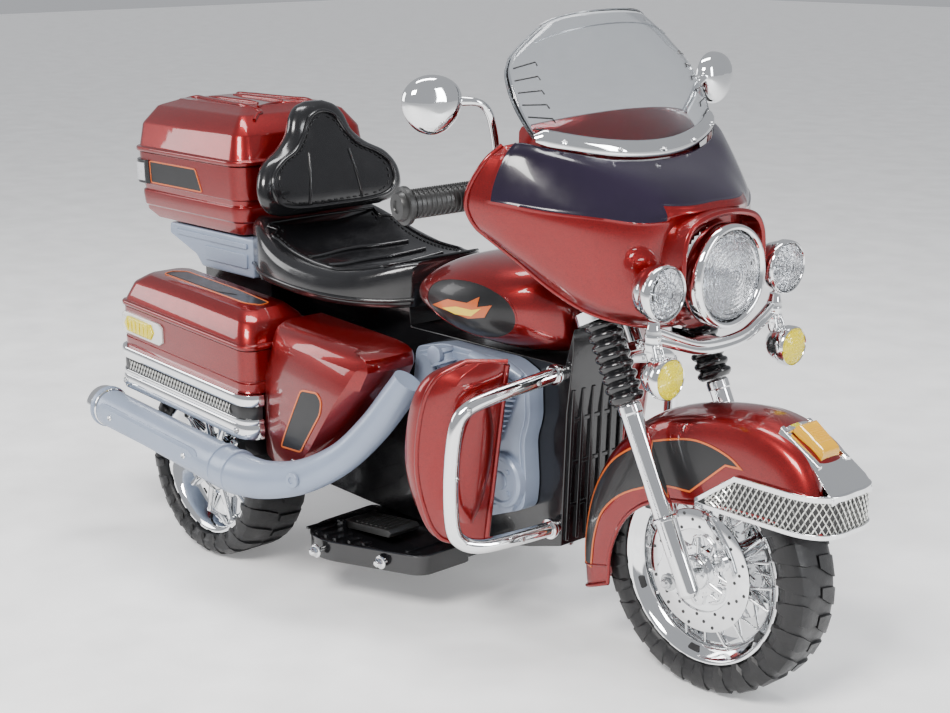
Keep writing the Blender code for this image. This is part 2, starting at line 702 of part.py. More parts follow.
def make_fairing():
    body = shell(fairing_rows(), SHELL, outward=-1, levels=1)
    hole = rod((LAMP_X - 0.09, 0, LAMP_Z), (LAMP_X + 0.05, 0, LAMP_Z), LAMP_RADIUS - 0.004,
               sides=WHEEL_SIDES)
    finish(cut(body, hole), "fairing", "red", STEERING)


def make_dash():
    """Cowl behind the windscreen with the instrument face towards the rider."""
    def section(y):
        share = y / 0.135
        drop = 0.012 * share ** 2
        front = SCREEN_FOOT.x - 0.022 - 0.028 * share ** 2
        return [(front, y, 0.622 - drop), (front - 0.014, y, 0.650 - drop),
                (front - 0.034, y, 0.668 - drop),
                (front - 0.047, y, 0.664 - drop), (front - 0.049, y, 0.640 - drop),
                (front - 0.038, y, 0.560),
                (front - 0.024, y, 0.562)]
    rings = [section(y) for y in (-0.132, -0.110, -0.070, -0.025, 0.025, 0.070, 0.110, 0.132)]
    finish(loft(rings), "dash_panel", "red", STEERING)


def make_windscreen():
    shares = [i / 6 for i in range(-6, 7)]
    heights = [0.02, 0.20, 0.45, 0.65, 0.82, 0.93, 1.0]
    rows = []
    for height in heights:
        tuck = 1 - 0.16 * max(0, (height - 0.85) / 0.15)
        rows.append([screen_point(share * tuck, height) for share in shares])
    finish(shell(rows, 0.0025, outward=-1, levels=0), "windshield", "clear", STEERING)


def make_screen_trim():
    """Chrome strip in front of the windscreen's foot."""
    thick, tall = 0.006, 0.016
    rings = []
    for i in range(-8, 9):
        share = i / 8
        foot = screen_foot(share) + Vector((0.0012, 0, 0))
        out = Vector((1, 1.5 * share * 0.67, 0)).normalized()
        low = foot + Vector((0, 0, 0.001))
        high = foot + Vector((-0.004, 0, tall))
        rings.append([low, low + out * thick, high + out * thick * 0.8, high])
    finish(loft(rings), "windshield_trim", "chrome", STEERING)


def make_headlight():
    """Chrome bezel with its bowl behind, and the clear lens in front."""
    face, back = LAMP_X + 0.012, LAMP_X - 0.012
    bowl = LAMP_RADIUS - 0.006
    lens_radius = LAMP_RADIUS - 0.008
    profile = [(0, back - 0.041), (bowl * 0.55 - 0.003, back - 0.041), (bowl - 0.003, back - 0.018),
               (bowl - 0.003, face - 0.010), (lens_radius + GAP, face - 0.010),
               (lens_radius + GAP, face),
               (LAMP_RADIUS - 0.004, face + 0.001), (LAMP_RADIUS + 0.002, face - 0.006),
               (LAMP_RADIUS + 0.002, back),
               (bowl, back), (bowl, back - 0.020), (bowl * 0.55, back - 0.045), (0, back - 0.045)]
    bezel = turned(profile, "X", (0, 0, LAMP_Z), sides=WHEEL_SIDES)
    finish(bezel, "headlight_bezel", "chrome", STEERING)
    lens = turned([(0, face + 0.005), (lens_radius * 0.6, face + 0.0035), (lens_radius, face - 0.002),
                   (lens_radius, face - 0.009), (0, face - 0.009)], "X", (0, 0, LAMP_Z),
                   sides=WHEEL_SIDES)
    finish(lens, "headlight_lens", "clear", STEERING)


def lamp(front_x, y, z, radius, depth):
    """A small lamp: rounded bowl, rim and domed lens, turned round the forward axis."""
    profile = [(0, front_x + 0.004), (radius * 0.6, front_x + 0.0025), (radius * 0.9, front_x),
               (radius, front_x - 0.003),
               (radius, front_x - 0.010), (radius * 0.86, front_x - 0.6 * depth),
               (radius * 0.45, front_x - 0.93 * depth), (0, front_x - depth)]
    return turned(profile, "X", (0, y, z), sides=20)


def passing_lamp():
    return lamp(PASSING_X, -PASSING_Y, PASSING_Z, PASSING_RADIUS, 0.040)


def amber_lamp():
    return lamp(AMBER_X, -AMBER_Y, AMBER_Z, AMBER_RADIUS, 0.036)


def make_lamp_bar():
    """Double chrome bar under the headlight, with a clamp and post for each pair of lamps."""
    clamp_x = WHEELBASE - 0.014
    low_post = AMBER_Z + AMBER_RADIUS + GAP
    high_post = PASSING_Z - PASSING_RADIUS - GAP
    bar = None
    for lift in (0.0, 0.011):
        points = [(clamp_x, 0.106, 0.434 + lift), (clamp_x + 0.006, 0.075, 0.424 + lift * 0.8),
                  (clamp_x + 0.010, 0.040, 0.413 + lift * 0.7),
                  (clamp_x + 0.011, 0, 0.410 + lift * 0.7)]
        one = tube(mirrored_row(list(reversed(points))), 0.0055, smooth=False, resolution=2)
        bar = one if bar is None else unite(bar, one)
    for sign in (-1, 1):
        post = block((clamp_x - 0.008, sign * PASSING_Y - 0.008, low_post),
                     (clamp_x + 0.008, sign * PASSING_Y + 0.008, high_post), 0.002)
        bar = unite(bar, post)
    front = clamp_x + 0.008
    bracket = block((WHEELBASE - 0.096, -0.014, 0.4105), (front, 0.014, 0.4185))
    finish(unite(bar, bracket), "lamp_bar", "chrome", STEERING)


# ---------------------------------------------------------------- front fender

def fender_section(angle, crown, half, skirt):
    """One cross section round the wheel: angle from straight ahead, crown and skirt radii."""
    def at(radius, y):
        return (WHEELBASE + radius * cos(angle), y, AXLE_HEIGHT + radius * sin(angle))
    side = [at(crown, 0), at(crown - 0.003, half * 0.45), at(crown - 0.014, half * 0.86),
            at((crown + skirt) / 2, half), at(skirt, half)]
    return mirrored_row(side)


def make_fender():
    clear = FRONT_WHEEL_RADIUS + 0.012
    half = FENDER_HALF
    stations = [(28, 0.204, 0.042, 0.190), (38, 0.221, half, 0.155), (52, 0.225, half, 0.122),
                (70, 0.213, half, 0.098),
                (92, 0.194, half, 0.086), (115, 0.188, half, 0.088), (138, 0.184, half, 0.098),
                (160, 0.181, half, 0.110),
                (182, 0.184, half, 0.122), (201, 0.192, half, 0.134)]
    rows = []
    for degrees, crown, width, skirt in stations:
        rows.append(fender_section(radians(degrees), max(crown, clear), width, skirt))
    body = shell(rows, SHELL, outward=-1, levels=1)
    finish(body, "front_fender", "red", STEERING)


def make_bumper():
    """Chrome band wrapped round the fender's tip."""
    low, high = 0.2520, 0.2860
    thick = 0.004
    half = FENDER_HALF + GAP
    tip = BUMPER_TIP
    outline = [(WHEELBASE + 0.045, half), (WHEELBASE + 0.110, half), (WHEELBASE + 0.150, half - 0.001),
               (tip - 0.012, half - 0.012), (tip - thick, half - 0.032), (tip - thick, 0)]
    inner = [Vector((x, y)) for x, y in outline]
    rings = []
    for index, point in enumerate(inner):
        before = inner[max(index - 1, 0)]
        after = inner[min(index + 1, len(inner) - 1)]
        along = (after - before).normalized()
        normal = Vector((-along.y, along.x))
        if normal.y < 0 or (abs(normal.y) < 1e-6 and normal.x < 0):
            normal = -normal
        if index == len(inner) - 1:
            normal = Vector((1, 0))
        out = point + normal * thick
        rise = 0.022 * max(0, 1 - (point.x - WHEELBASE - 0.045) / 0.05)
        rings.append([(point.x, point.y, low + rise), (out.x, out.y, low + rise),
                      (out.x, out.y, high), (point.x, point.y, high)])
    other = [[(x, -y, z) for x, y, z in ring] for ring in reversed(rings[:-1])]
    finish(loft(rings + other), "fender_bumper", "chrome", STEERING)


def make_fender_lamp():
    """Amber marker lamp on the fender's tip."""
    rear, front = WHEELBASE + 0.112, WHEELBASE + 0.152
    low = [(rear, -0.019, 0.3386), (rear, 0.019, 0.3386), (front, 0.017, 0.3111), (front, -0.017, 0.3111)]
    rings = []
    for lift, share in ((0.0, 1.0), (0.010, 0.96), (0.015, 0.72)):
        centre = sum((Vector(point) for point in low), Vector()) / 4
        rings.append([centre + (Vector(point) - centre) * share + Vector((0.35, 0, 0.94)) * lift
                      for point in low])
    finish(loft(rings), "fender_lamp", "amber", STEERING)


# ---------------------------------------------------------------- frame and engine

def make_frame():
    """Black main moulding: spine, downtube, head tube, axle bosses and the battery well."""
    nose = FRAME_NOSE
    outline = [(-0.150, SEAT_DECK), (-0.165, 0.330), (-0.090, 0.200), (-0.045, 0.098), (0.190, 0.0905),
               (nose - 0.165, 0.0905), (nose - 0.065, 0.112), (nose - 0.008, 0.128), (nose, 0.300),
               (nose + 0.010, 0.375), (nose + 0.010, 0.408), (nose - 0.004, FRAME_TOP),
               (nose - 0.290, FRAME_TOP),
               (nose - 0.292, SEAT_DECK)]
    frame = plate(outline, -FRAME_HALF, FRAME_HALF, "XZ")
    head = rod(axis_point(HEAD_LOW), axis_point(HEAD_TOP), COLUMN_RADIUS + HEAD_WALL)
    neck_corners = [STEER_FRAME @ Vector(corner) for corner in (
        (-0.030, 0, HEAD_LOW + 0.003), (0, 0, HEAD_LOW + 0.003), (0, 0, HEAD_TOP - 0.006),
        (-0.020, 0, HEAD_TOP - 0.006))]
    neck_outline = [(nose - 0.003, 0.352)] + [(corner.x,
                                               corner.z) for corner in neck_corners] + [(nose - 0.003,
                                                                                         0.405)]
    neck = plate(neck_outline, -0.012, 0.012, "XZ")
    rear_block = block((-0.145, -BAG_INNER + 0.009, 0.290),
                       (0.020, BAG_INNER - 0.009, SEAT_DECK + 0.0004), 0.004)
    boss_end = REAR_INNER - 0.0025
    right_boss = rod((0, -boss_end, REAR_WHEEL_RADIUS), (0, 0, REAR_WHEEL_RADIUS), 0.016)
    frame = unite(frame, head, neck, rear_block, right_boss)
    shaft = rod(axis_point(HEAD_LOW - 0.02), axis_point(HEAD_TOP + 0.05), COLUMN_RADIUS + RUNNING_GAP)
    axle = rod((0, -0.3, REAR_WHEEL_RADIUS), (0, 0.3, REAR_WHEEL_RADIUS), AXLE_RADIUS + RUNNING_GAP)
    low = BATTERY_LOW - Vector((BATTERY_ROOM, BATTERY_ROOM, GAP))
    high = Vector((BATTERY_LOW.x + BATTERY_SIZE.x + BATTERY_ROOM, BATTERY_SIZE.y / 2 + BATTERY_ROOM,
                   0.45))
    frame = cut(frame, shaft, axle, block(low, high))
    finish(frame, "main_frame", "black", ROOT)


def make_battery():
    battery = block(BATTERY_LOW, BATTERY_LOW + BATTERY_SIZE, 0.002)
    top = BATTERY_LOW.z + BATTERY_SIZE.z
    for y in (-0.020, 0.020):
        tab = block((BATTERY_LOW.x + 0.010, y - 0.003, top - 0.002),
                    (BATTERY_LOW.x + 0.018, y + 0.003, top + 0.006))
        battery = unite(battery, tab)
    finish(battery, "battery", "battery", ROOT)


def make_gearbox():
    """Geared motor between the frame and the left rear wheel, on the axle."""
    low_y, high_y = FRAME_HALF + GAP, REAR_INNER - 0.0025
    case = plate([(-0.034, 0.116), (-0.020, 0.094), (0.020, 0.094), (0.062, 0.116), (0.084, 0.150),
                  (0.084, 0.186),
                  (0.040, 0.196), (-0.026, 0.166)], low_y, high_y - 0.010, "XZ")
    motor_start, boss_start = max(high_y - 0.030, low_y), max(high_y - 0.020, low_y)
    motor = rod((0.058, motor_start, 0.162), (0.058, high_y, 0.162), 0.0185, sides=20)
    boss = rod((0, boss_start, REAR_WHEEL_RADIUS), (0, high_y, REAR_WHEEL_RADIUS), 0.020, sides=20)
    bore = rod((0, 0, REAR_WHEEL_RADIUS), (0, 0.3, REAR_WHEEL_RADIUS), AXLE_RADIUS + RUNNING_GAP)
    finish(cut(unite(case, motor, boss), bore), "drive_gearbox", "grey", ROOT)


def make_tank():
    """Teardrop tank cover over the frame's spine."""
    front, rear = WHEELBASE - 0.208, WHEELBASE - 0.452
    base = FRAME_TOP + GAP
    stations = [(0.00, 0.055, 0.414, 0.420), (0.06, 0.078, 0.392, 0.446), (0.20, 0.094, 0.378, 0.464),
                (0.42, TANK_HALF, 0.366, 0.477), (0.66, 0.098, 0.362, 0.481),
                (0.86, 0.074, 0.364, 0.478),
                (0.97, 0.046, 0.370, 0.462), (1.00, 0.034, 0.376, 0.446)]
    rings = []
    for share, half, low, high in stations:
        x = rear + (front - rear) * share
        middle = (low + high) / 2
        low = max(low, base)
        ring = []
        for i in range(16):
            angle = 2 * pi * i / 16
            c, s = cos(angle), sin(angle)
            y = half * (abs(c) ** 0.85) * (1 if c > 0 else -1)
            z = middle + (high - middle if s > 0 else middle - low) * (abs(s) ** 0.9) * (1 if s > 0 else -1)
            ring.append((x, y, z))
        rings.append(ring)
    finish(loft(rings), "tank_cover", "red", ROOT)


def engine_cover():
    """Grey moulding with the look of a twin engine, bolted to the frame's side."""
    nose = ENGINE_NOSE
    outline = [(nose - 0.205, 0.345), (nose - 0.214, 0.270), (nose - 0.222, 0.218),
               (nose - 0.200, 0.165),
               (nose - 0.155, 0.138), (nose - 0.105, 0.134), (nose - 0.060, 0.150),
               (nose - 0.004, 0.172),
               (nose, 0.205), (nose - 0.004, 0.260), (nose + 0.006, 0.290), (nose + 0.004, 0.345),
               (nose - 0.030, 0.3585),
               (nose - 0.150, 0.3585)]
    cover = plate(outline, -ENGINE_HALF + 0.022, -FRAME_HALF - GAP, "XZ", bevel=0.006)
    clutch = rod((nose - 0.142, -FRAME_HALF - 0.01, 0.215), (nose - 0.142, -ENGINE_HALF, 0.215), 0.066,
                 0.060, sides=20)
    timing = rod((nose - 0.036, -FRAME_HALF - 0.01, 0.205), (nose - 0.036, -ENGINE_HALF + 0.006, 0.205),
                 0.036, 0.030, sides=16)
    cylinder = rod((nose - 0.120, -0.080, 0.275), (nose - 0.152, -0.080, 0.352), 0.019, sides=12)
    return unite(cover, clutch, timing, cylinder)


def leg_shield():
    """Red lower fairing in front of the rider's leg, hollow side to the rear."""
    edge = WHEELBASE - 0.254
    heights = [(0.128, 0.30, 0.020), (0.140, 0.62, 0.026), (0.180, 0.84, 0.034), (0.240, 1.0, 0.040),
               (0.310, 1.0, 0.040), (0.350, 0.86, 0.034), (0.370, 0.50, 0.026)]
    rings = []
    for z, share, deep in heights:
        lean = (z - 0.25) * 0.16
        y0, y1 = -0.112, -0.112 - 0.082 * share
        x0 = edge + lean
        front = [(x0, y0), (x0 - 0.012, (y0 + y1) / 2), (x0 - 0.036 * share - 0.010, y1 + 0.008),
                 (x0 - 0.060 * share - 0.010, y1)]
        back = [(x0 - 0.060 * share - deep * 0.55, y1 + 0.004),
                (x0 - 0.040 * share - deep * 0.6, y1 + 0.014),
                (x0 - deep * 0.75, (y0 + y1) / 2), (x0 - deep * 0.6, y0)]
        rings.append([(x, y, z) for x, y in front + back])
    return loft(rings)


def crash_bar():
    """Chrome loop in front of the leg shield, with both ends on the downtube."""
    start = WHEELBASE - 0.206
    points = [(start, -FRAME_HALF - GAP, 0.350), (start, -FRAME_HALF - 0.010, 0.350),
              (start - 0.006, -0.092, 0.345), (start - 0.020, -0.150, 0.334),
              (start - 0.030, -0.180, 0.322), (start - 0.035, -0.192, 0.300),
              (start - 0.040, -0.196, 0.240),
              (start - 0.040, -0.194, 0.180), (start - 0.036, -0.184, 0.158),
              (start - 0.026, -0.160, 0.149),
              (start - 0.014, -0.110, 0.150), (start - 0.006, -FRAME_HALF - 0.010, 0.152),
              (start - 0.006, -FRAME_HALF - GAP, 0.152)]
    return tube(points, CRASH_TUBE_RADIUS, smooth=False, resolution=3)


# ---------------------------------------------------------------- footboards, pedal, exhausts

def board_outline():
    rear = BOARD_FRONT - 0.205
    left = [(rear, 0.050), (rear + 0.006, 0.150), (rear + 0.020, 0.180), (rear + 0.050, 0.192),
            (rear + 0.075, 0.190),
            (BOARD_FRONT - 0.010, 0.142), (BOARD_FRONT, 0.128), (BOARD_FRONT, 0.050)]
    return left


def make_footboards():
    left = board_outline()
    outline = left + [(x, -y) for x, y in reversed(left)]
    board = plate(outline, BOARD_LOW, BOARD_TOP, "XY", bevel=0.003)
    for x in (BOLT_REAR_X, BOLT_FRONT_X):
        board = cut(board, rod((x, -0.3, BOLT_Z), (x, 0.3, BOLT_Z), BOLT_RADIUS + RUNNING_GAP,
                               sides=12))
    for sign in (-1, 1):
        lug_y = PEDAL_HINGE.y + sign * (PEDAL_HALF + 0.005)
        lug = block((PEDAL_HINGE.x - 0.006, lug_y - 0.004, BOARD_TOP - 0.003),
                    (PEDAL_HINGE.x + 0.006, lug_y + 0.004, PEDAL_HINGE.z + 0.006))
        board = unite(board, lug)
    pin = rod((PEDAL_HINGE.x, PEDAL_HINGE.y - PEDAL_HALF - 0.006, PEDAL_HINGE.z),
              (PEDAL_HINGE.x, PEDAL_HINGE.y + PEDAL_HALF + 0.006, PEDAL_HINGE.z), PEDAL_PIN_RADIUS,
              sides=12)
    finish(unite(board, pin), "footboards", "black", ROOT)


def make_pedal():
    """Foot throttle, hinged at its heel and sprung up."""
    hinge = PEDAL_HINGE
    outline = [(-0.005, -0.005), (0.008, -0.0048), (0.090, 0.0035), (0.094, 0.010), (0.088, 0.014),
               (0.010, 0.0055), (0.000, 0.0058), (-0.005, 0.004)]
    outline = [(hinge.x + x, hinge.z + z) for x, z in outline]
    pad = plate(outline, hinge.y - PEDAL_HALF, hinge.y + PEDAL_HALF, "XZ")
    bore = rod((hinge.x, hinge.y - 0.1, hinge.z), (hinge.x, hinge.y + 0.1, hinge.z),
               PEDAL_PIN_RADIUS + RUNNING_GAP, sides=12)
    finish(cut(pad, bore), "accelerator_pedal", "black", PEDAL)


def board_edge(x):
    """Half width of the footboards at x, along their slanted outer edge."""
    front, rear = BOARD_FRONT - 0.010, BOARD_FRONT - 0.130
    return 0.142 + (0.190 - 0.142) * (front - x) / (front - rear)


def make_board_bolt(name, x):
    """Through bolt with a washer and a domed nut at each side."""
    half = board_edge(x) + 0.005
    bolt = rod((x, -half - 0.004, BOLT_Z), (x, half + 0.004, BOLT_Z), BOLT_RADIUS, sides=SMALL_SIDES)
    for sign in (-1, 1):
        washer = rod((x, sign * half, BOLT_Z), (x, sign * (half + 0.0015), BOLT_Z), 0.0085, sides=12)
        nut = rod((x, sign * (half + 0.001), BOLT_Z), (x, sign * (half + 0.006), BOLT_Z), 0.0062,
                  sides=6)
        dome = rod((x, sign * (half + 0.0055), BOLT_Z), (x, sign * (half + 0.010), BOLT_Z), 0.0048,
                   0.0022, sides=SMALL_SIDES)
        bolt = unite(bolt, washer, nut, dome)
    finish(bolt, name, "chrome", ROOT)


def exhaust():
    """Silencer outside the rear wheel, with the pipe that climbs to the engine."""
    y, r = -MUFFLER_Y, PIPE_RADIUS / MUFFLER_RADIUS
    reach = WHEELBASE - 0.768
    points = [(-0.196, y, 0.182), (-0.180, y, 0.182), (-0.060, y, 0.180), (0.120, y, 0.176),
              (0.165, y, 0.177),
              (0.215, y + 0.006, 0.184), (0.265 + reach * 0.5, y + 0.026, 0.200),
              (0.310 + reach, y + 0.052, 0.232),
              (0.345 + reach, y + 0.074, 0.275), (0.372 + reach, y + 0.090, 0.318),
              (0.388 + reach, y + 0.098, 0.345)]
    radii = [0.90, 1, 1, 1.08, 1.04, 0.93, 0.84, r, r, r, r * 0.95]
    return sloped(tube(points, MUFFLER_RADIUS, radii, smooth=True, resolution=3, steps=2))


# ---------------------------------------------------------------- seat, backrest, rack, trunk

def make_seat():
    """Moulded saddle with a dished top and a skirt round the frame."""
    stations = [(0.003, 0.104, 0.470, 0.478, 0.402), (0.020, 0.112, 0.468, 0.476, 0.402),
                (0.050, 0.126, 0.452, 0.462, 0.398),
                (0.095, SEAT_HALF, 0.428, 0.446, 0.396), (0.145, SEAT_HALF, 0.417, 0.436, 0.392),
                (0.195, 0.128, 0.418, 0.432, 0.390), (0.240, 0.112, 0.428, 0.436, 0.3885),
                (0.276, 0.086, 0.442, 0.444, 0.388),
                (0.300, 0.060, 0.450, 0.448, 0.390)]
    rings = []
    for x, half, dish, rim_top, skirt in stations:
        side = [(half * 0.0, dish), (half * 0.35, dish + (rim_top - dish) * 0.10),
                (half * 0.66, dish + (rim_top - dish) * 0.55),
                (half * 0.84, rim_top), (half * 0.95, rim_top - 0.006), (half, rim_top - 0.018),
                (half, skirt + 0.006),
                (half * 0.97, skirt), (half * 0.90, skirt), (half * 0.62, 0.3885)]
        ring = [(x, y, z) for y, z in side] + [(x, -y, z) for y, z in reversed(side[1:])]
        rings.append(ring)
    finish(loft(rings), "seat", "black", ROOT)


def make_backrest():
    """Padded back: two wings with a dome between them, leaning back over the trunk's front."""
    levels = [(0.482, 0.090, 0.020), (0.490, 0.112, 0.040), (0.508, 0.124, 0.050),
              (0.534, 0.122, 0.050),
              (0.556, 0.106, 0.046), (0.572, 0.076, 0.042), (0.590, 0.056, 0.038),
              (0.612, 0.046, 0.034),
              (0.626, 0.034, 0.024), (0.633, 0.016, 0.010)]
    rings = []
    for z, half, deep in levels:
        lean = 0.040 - (z - 0.482) * 0.18
        ring = []
        for i in range(16):
            angle = 2 * pi * i / 16
            c, s = cos(angle), sin(angle)
            y = half * abs(c) ** 0.8 * (1 if c > 0 else -1)
            wrap = 0.016 * (y / 0.124) ** 2
            x = lean + wrap + deep / 2 * abs(s) ** 0.8 * (1 if s > 0 else -1)
            ring.append((x, y, z))
        rings.append(ring)
    finish(loft(rings), "backrest", "black", ROOT)


def make_rack():
    """Grey carrier from the seat's base to under the trunk."""
    outline = [(-0.212, RACK_TOP), (-0.214, 0.427), (-0.145, 0.4035), (-0.130, 0.3878),
               (0.0005, 0.3878), (0.0005, RACK_TOP)]
    finish(plate(outline, -0.104, 0.104, "XZ", bevel=0.003), "rack", "grey", ROOT)


def trunk_ring(grow, z, front=-0.003, rear=TRUNK_BACK, half=TRUNK_HALF, corner=0.030):
    return span_ring(rear - grow, front + grow, -half - grow, half + grow,
                     corner + max(grow, -corner * 0.7), z)


def make_trunk():
    """Top box, open upwards under its lid."""
    wall = SHELL
    rings = [trunk_ring(-0.030, TRUNK_FLOOR, rear=TRUNK_BACK + 0.022),
             trunk_ring(-0.018, TRUNK_FLOOR + 0.003, rear=TRUNK_BACK + 0.018),
             trunk_ring(-0.012, TRUNK_FLOOR + 0.018), trunk_ring(-0.004, TRUNK_SEAM - 0.050),
             trunk_ring(-0.003, TRUNK_SEAM - GAP)]
    hollow = [trunk_ring(-0.018 - wall, TRUNK_FLOOR + 0.004, rear=TRUNK_BACK + 0.018),
              trunk_ring(-0.004 - wall, TRUNK_SEAM - 0.050),
              trunk_ring(-0.003 - wall, TRUNK_SEAM + 0.010)]
    finish(cut(loft(rings), loft(hollow)), "trunk_body", "red", ROOT)


def make_trunk_lid():
    """Lid with a rolled lip and a faceted top, hinged along its rear edge."""
    wall = SHELL
    rings = [trunk_ring(TRUNK_LIP, TRUNK_SEAM), trunk_ring(TRUNK_LIP, TRUNK_SEAM + 0.007),
             trunk_ring(-0.003, TRUNK_SEAM + 0.010),
             trunk_ring(-0.010, TRUNK_SEAM + 0.040), trunk_ring(-0.030, TRUNK_SEAM + 0.066),
             trunk_ring(-0.052, TRUNK_SEAM + 0.077)]
    hollow = [trunk_ring(-0.004 - wall, TRUNK_SEAM - 0.010),
              trunk_ring(-0.004 - wall, TRUNK_SEAM + 0.010),
              trunk_ring(-0.010 - wall, TRUNK_SEAM + 0.038),
              trunk_ring(-0.032 - wall, TRUNK_SEAM + 0.062),
              trunk_ring(-0.054 - wall, TRUNK_SEAM + 0.073)]
    lid = cut(loft(rings), loft(hollow))
    finish(lid, "trunk_lid", "red", TRUNK_LID)


# ---------------------------------------------------------------- saddlebags

def bag_ring(grow, z, rear=BAG_REAR, front=BAG_FRONT, inner=BAG_INNER, outer=BAG_OUTER, corner=0.022):
    return span_ring(rear - grow, front + grow, -outer - grow, -inner + grow, corner, z)


def saddlebag():
    """Pannier over the rear wheel with its outer skirt, rear wall and the lobe ahead of the wheel."""
    tub = loft([bag_ring(-0.001, ARCH_TOP), bag_ring(0, ARCH_TOP + 0.004), bag_ring(0, BAG_SEAM - GAP)])
    skirt = loft([bag_ring(0, SKIRT_LOW), bag_ring(0, ARCH_TOP + 0.010)])
    space = block((BAG_REAR + 0.024, -SKIRT_INNER, 0.1), (0.140, 0, ARCH_TOP))
    pocket = [bag_ring(-SHELL, ARCH_TOP + 0.004, corner=0.019),
              bag_ring(-SHELL, BAG_SEAM + 0.02, corner=0.019)]
    front = BAG_FRONT - 0.004
    lobe_outer = REAR_OUTER - 0.006

    def lobe_ring(z, reach, inset):
        high_x = front + reach
        back = front - 0.006 if z < BAG_SEAM - 0.020 else BAG_FRONT + 0.005
        return [(back, -BAG_INNER - 0.004, z), (high_x - 0.020, -BAG_INNER - 0.004, z),
                (high_x, -BAG_INNER - 0.014, z),
                (high_x + 0.002, -lobe_outer + 0.030, z), (high_x - 0.018, -lobe_outer + inset, z),
                (front + 0.030, -lobe_outer + inset - 0.002, z), (back, -lobe_outer + inset + 0.010, z)]
    lobe = loft([lobe_ring(0.180, 0.074, 0.012), lobe_ring(0.186, 0.088, 0.004),
                 lobe_ring(0.230, 0.128, 0.0),
                 lobe_ring(0.300, 0.176, 0.002), lobe_ring(0.325, 0.196, 0.004),
                 lobe_ring(0.352, 0.212, 0.010), lobe_ring(0.368, 0.208, 0.022),
                 lobe_ring(0.373, 0.186, 0.040)])
    body = unite(cut(unite(tub, skirt), space), lobe)
    return sloped(cut(body, loft(pocket)))


def saddlebag_lid():
    """Lid with a rolled lip, falling towards the outside, hinged along its inner edge."""
    def ring(grow, z, inner_cut, outer_cut, ends):
        return span_ring(BAG_REAR - grow + ends, BAG_FRONT + grow - ends, -BAG_OUTER - grow + outer_cut,
                         -BAG_INNER + grow - inner_cut, 0.020, z)
    lid = loft([ring(0.002, BAG_SEAM, 0.003, 0, 0), ring(0.002, BAG_SEAM + 0.006, 0.003, 0, 0),
                ring(0, BAG_SEAM + 0.008, 0.003, 0.002, 0.002),
                ring(0, BAG_SEAM + 0.034, 0.018, 0.012, 0.014),
                ring(0, BAG_SEAM + 0.046, 0.030, 0.026, 0.030)])
    hollow = loft([ring(-SHELL, BAG_SEAM - 0.010, 0.003, 0, 0),
                   ring(-SHELL, BAG_SEAM + 0.006, 0.003, 0.002, 0.002),
                   ring(-SHELL, BAG_SEAM + 0.032, 0.018, 0.012, 0.014),
                   ring(-SHELL, BAG_SEAM + 0.042, 0.030, 0.026, 0.030)])
    return sloped(cut(lid, hollow))


def saddlebag_trim():
    """Chrome guard of three bands along the bag's outer side, wrapped round its two corners."""
    bands = None
    for low, high, thick in ((SKIRT_LOW + 0.002, 0.2420, TRIM_THICK - 0.001), (0.2410, 0.2620, 0.003),
                             (0.2610, 0.2760, TRIM_THICK)):
        outer = [bag_ring(GAP + thick, z, corner=0.022 + thick) for z in (low, high)]
        inner = [bag_ring(GAP, z) for z in (low - 0.01, high + 0.01)]
        band = cut(loft(outer), loft(inner), block((-1, -BAG_OUTER + 0.019, 0), (1, 1, 1)))
        bands = band if bands is None else unite(bands, band)
    return sloped(bands)


# ---------------------------------------------------------------- assembly

def overall_middle():
    """Middle of the overall length: from the trunk lid's rear lip to the bumper's tip."""
    rear_lip = TRUNK_BACK - TRUNK_LIP
    return (rear_lip + BUMPER_TIP) / 2


clear_scene()
PARTS = new_collection("touring_motorcycle")
ROOT = empty("motorcycle", (0, 0, 0))
STEERING = empty("steering_axis", AXIS_FOOT, ROOT, Matrix.Rotation(-RAKE, 4, "Y"))
FRONT_WHEEL = empty("front_wheel_axis", (WHEELBASE, 0, AXLE_HEIGHT), STEERING)
REAR_WHEEL_RIGHT = empty("rear_wheel_right_axis", (0, -REAR_WHEEL_Y, REAR_WHEEL_RADIUS), ROOT)
REAR_WHEEL_LEFT = empty("rear_wheel_left_axis", (0, REAR_WHEEL_Y, REAR_WHEEL_RADIUS), ROOT)
TRUNK_LID = empty("trunk_lid_hinge", (TRUNK_BACK, 0, TRUNK_SEAM), ROOT)
BAG_LID_RIGHT = empty("saddlebag_lid_right_hinge", (0, -BAG_INNER, BAG_SEAM), ROOT)
BAG_LID_LEFT = empty("saddlebag_lid_left_hinge", (0, BAG_INNER, BAG_SEAM), ROOT)
PEDAL = empty("pedal_hinge", PEDAL_HINGE, ROOT)
HORN = empty("horn_slide", (BOSS_X, -HORN_Y, HORN_TOP), STEERING)
MIRROR_RIGHT = empty("mirror_right_swivel", (BOSS_X, -BOSS_Y, BOSS_TOP), STEERING)
MIRROR_LEFT = empty("mirror_left_swivel", (BOSS_X, BOSS_Y, BOSS_TOP), STEERING)

make_wheels()
make_axles()
make_column()
both_sides("fork_leg", fork_leg, "chrome", (STEERING, STEERING))
both_sides("bellows", bellows, "rubber", (STEERING, STEERING))
make_handlebar()
make_horn_button()
both_sides("grip", grip, "rubber", (STEERING, STEERING))
both_sides("mirror", mirror, "chrome", (MIRROR_RIGHT, MIRROR_LEFT))
make_fairing()
make_dash()
make_windscreen()
make_screen_trim()
make_headlight()
both_sides("passing_lamp", passing_lamp, "chrome", (STEERING, STEERING))
both_sides("amber_lamp", amber_lamp, "amber", (STEERING, STEERING))
make_lamp_bar()
make_fender()
make_bumper()
make_fender_lamp()
make_frame()
make_battery()
make_gearbox()
make_tank()
both_sides("engine_cover", engine_cover, "grey", (ROOT, ROOT))
both_sides("leg_shield", leg_shield, "red", (ROOT, ROOT))
both_sides("crash_bar", crash_bar, "chrome", (ROOT, ROOT))
make_footboards()
make_pedal()
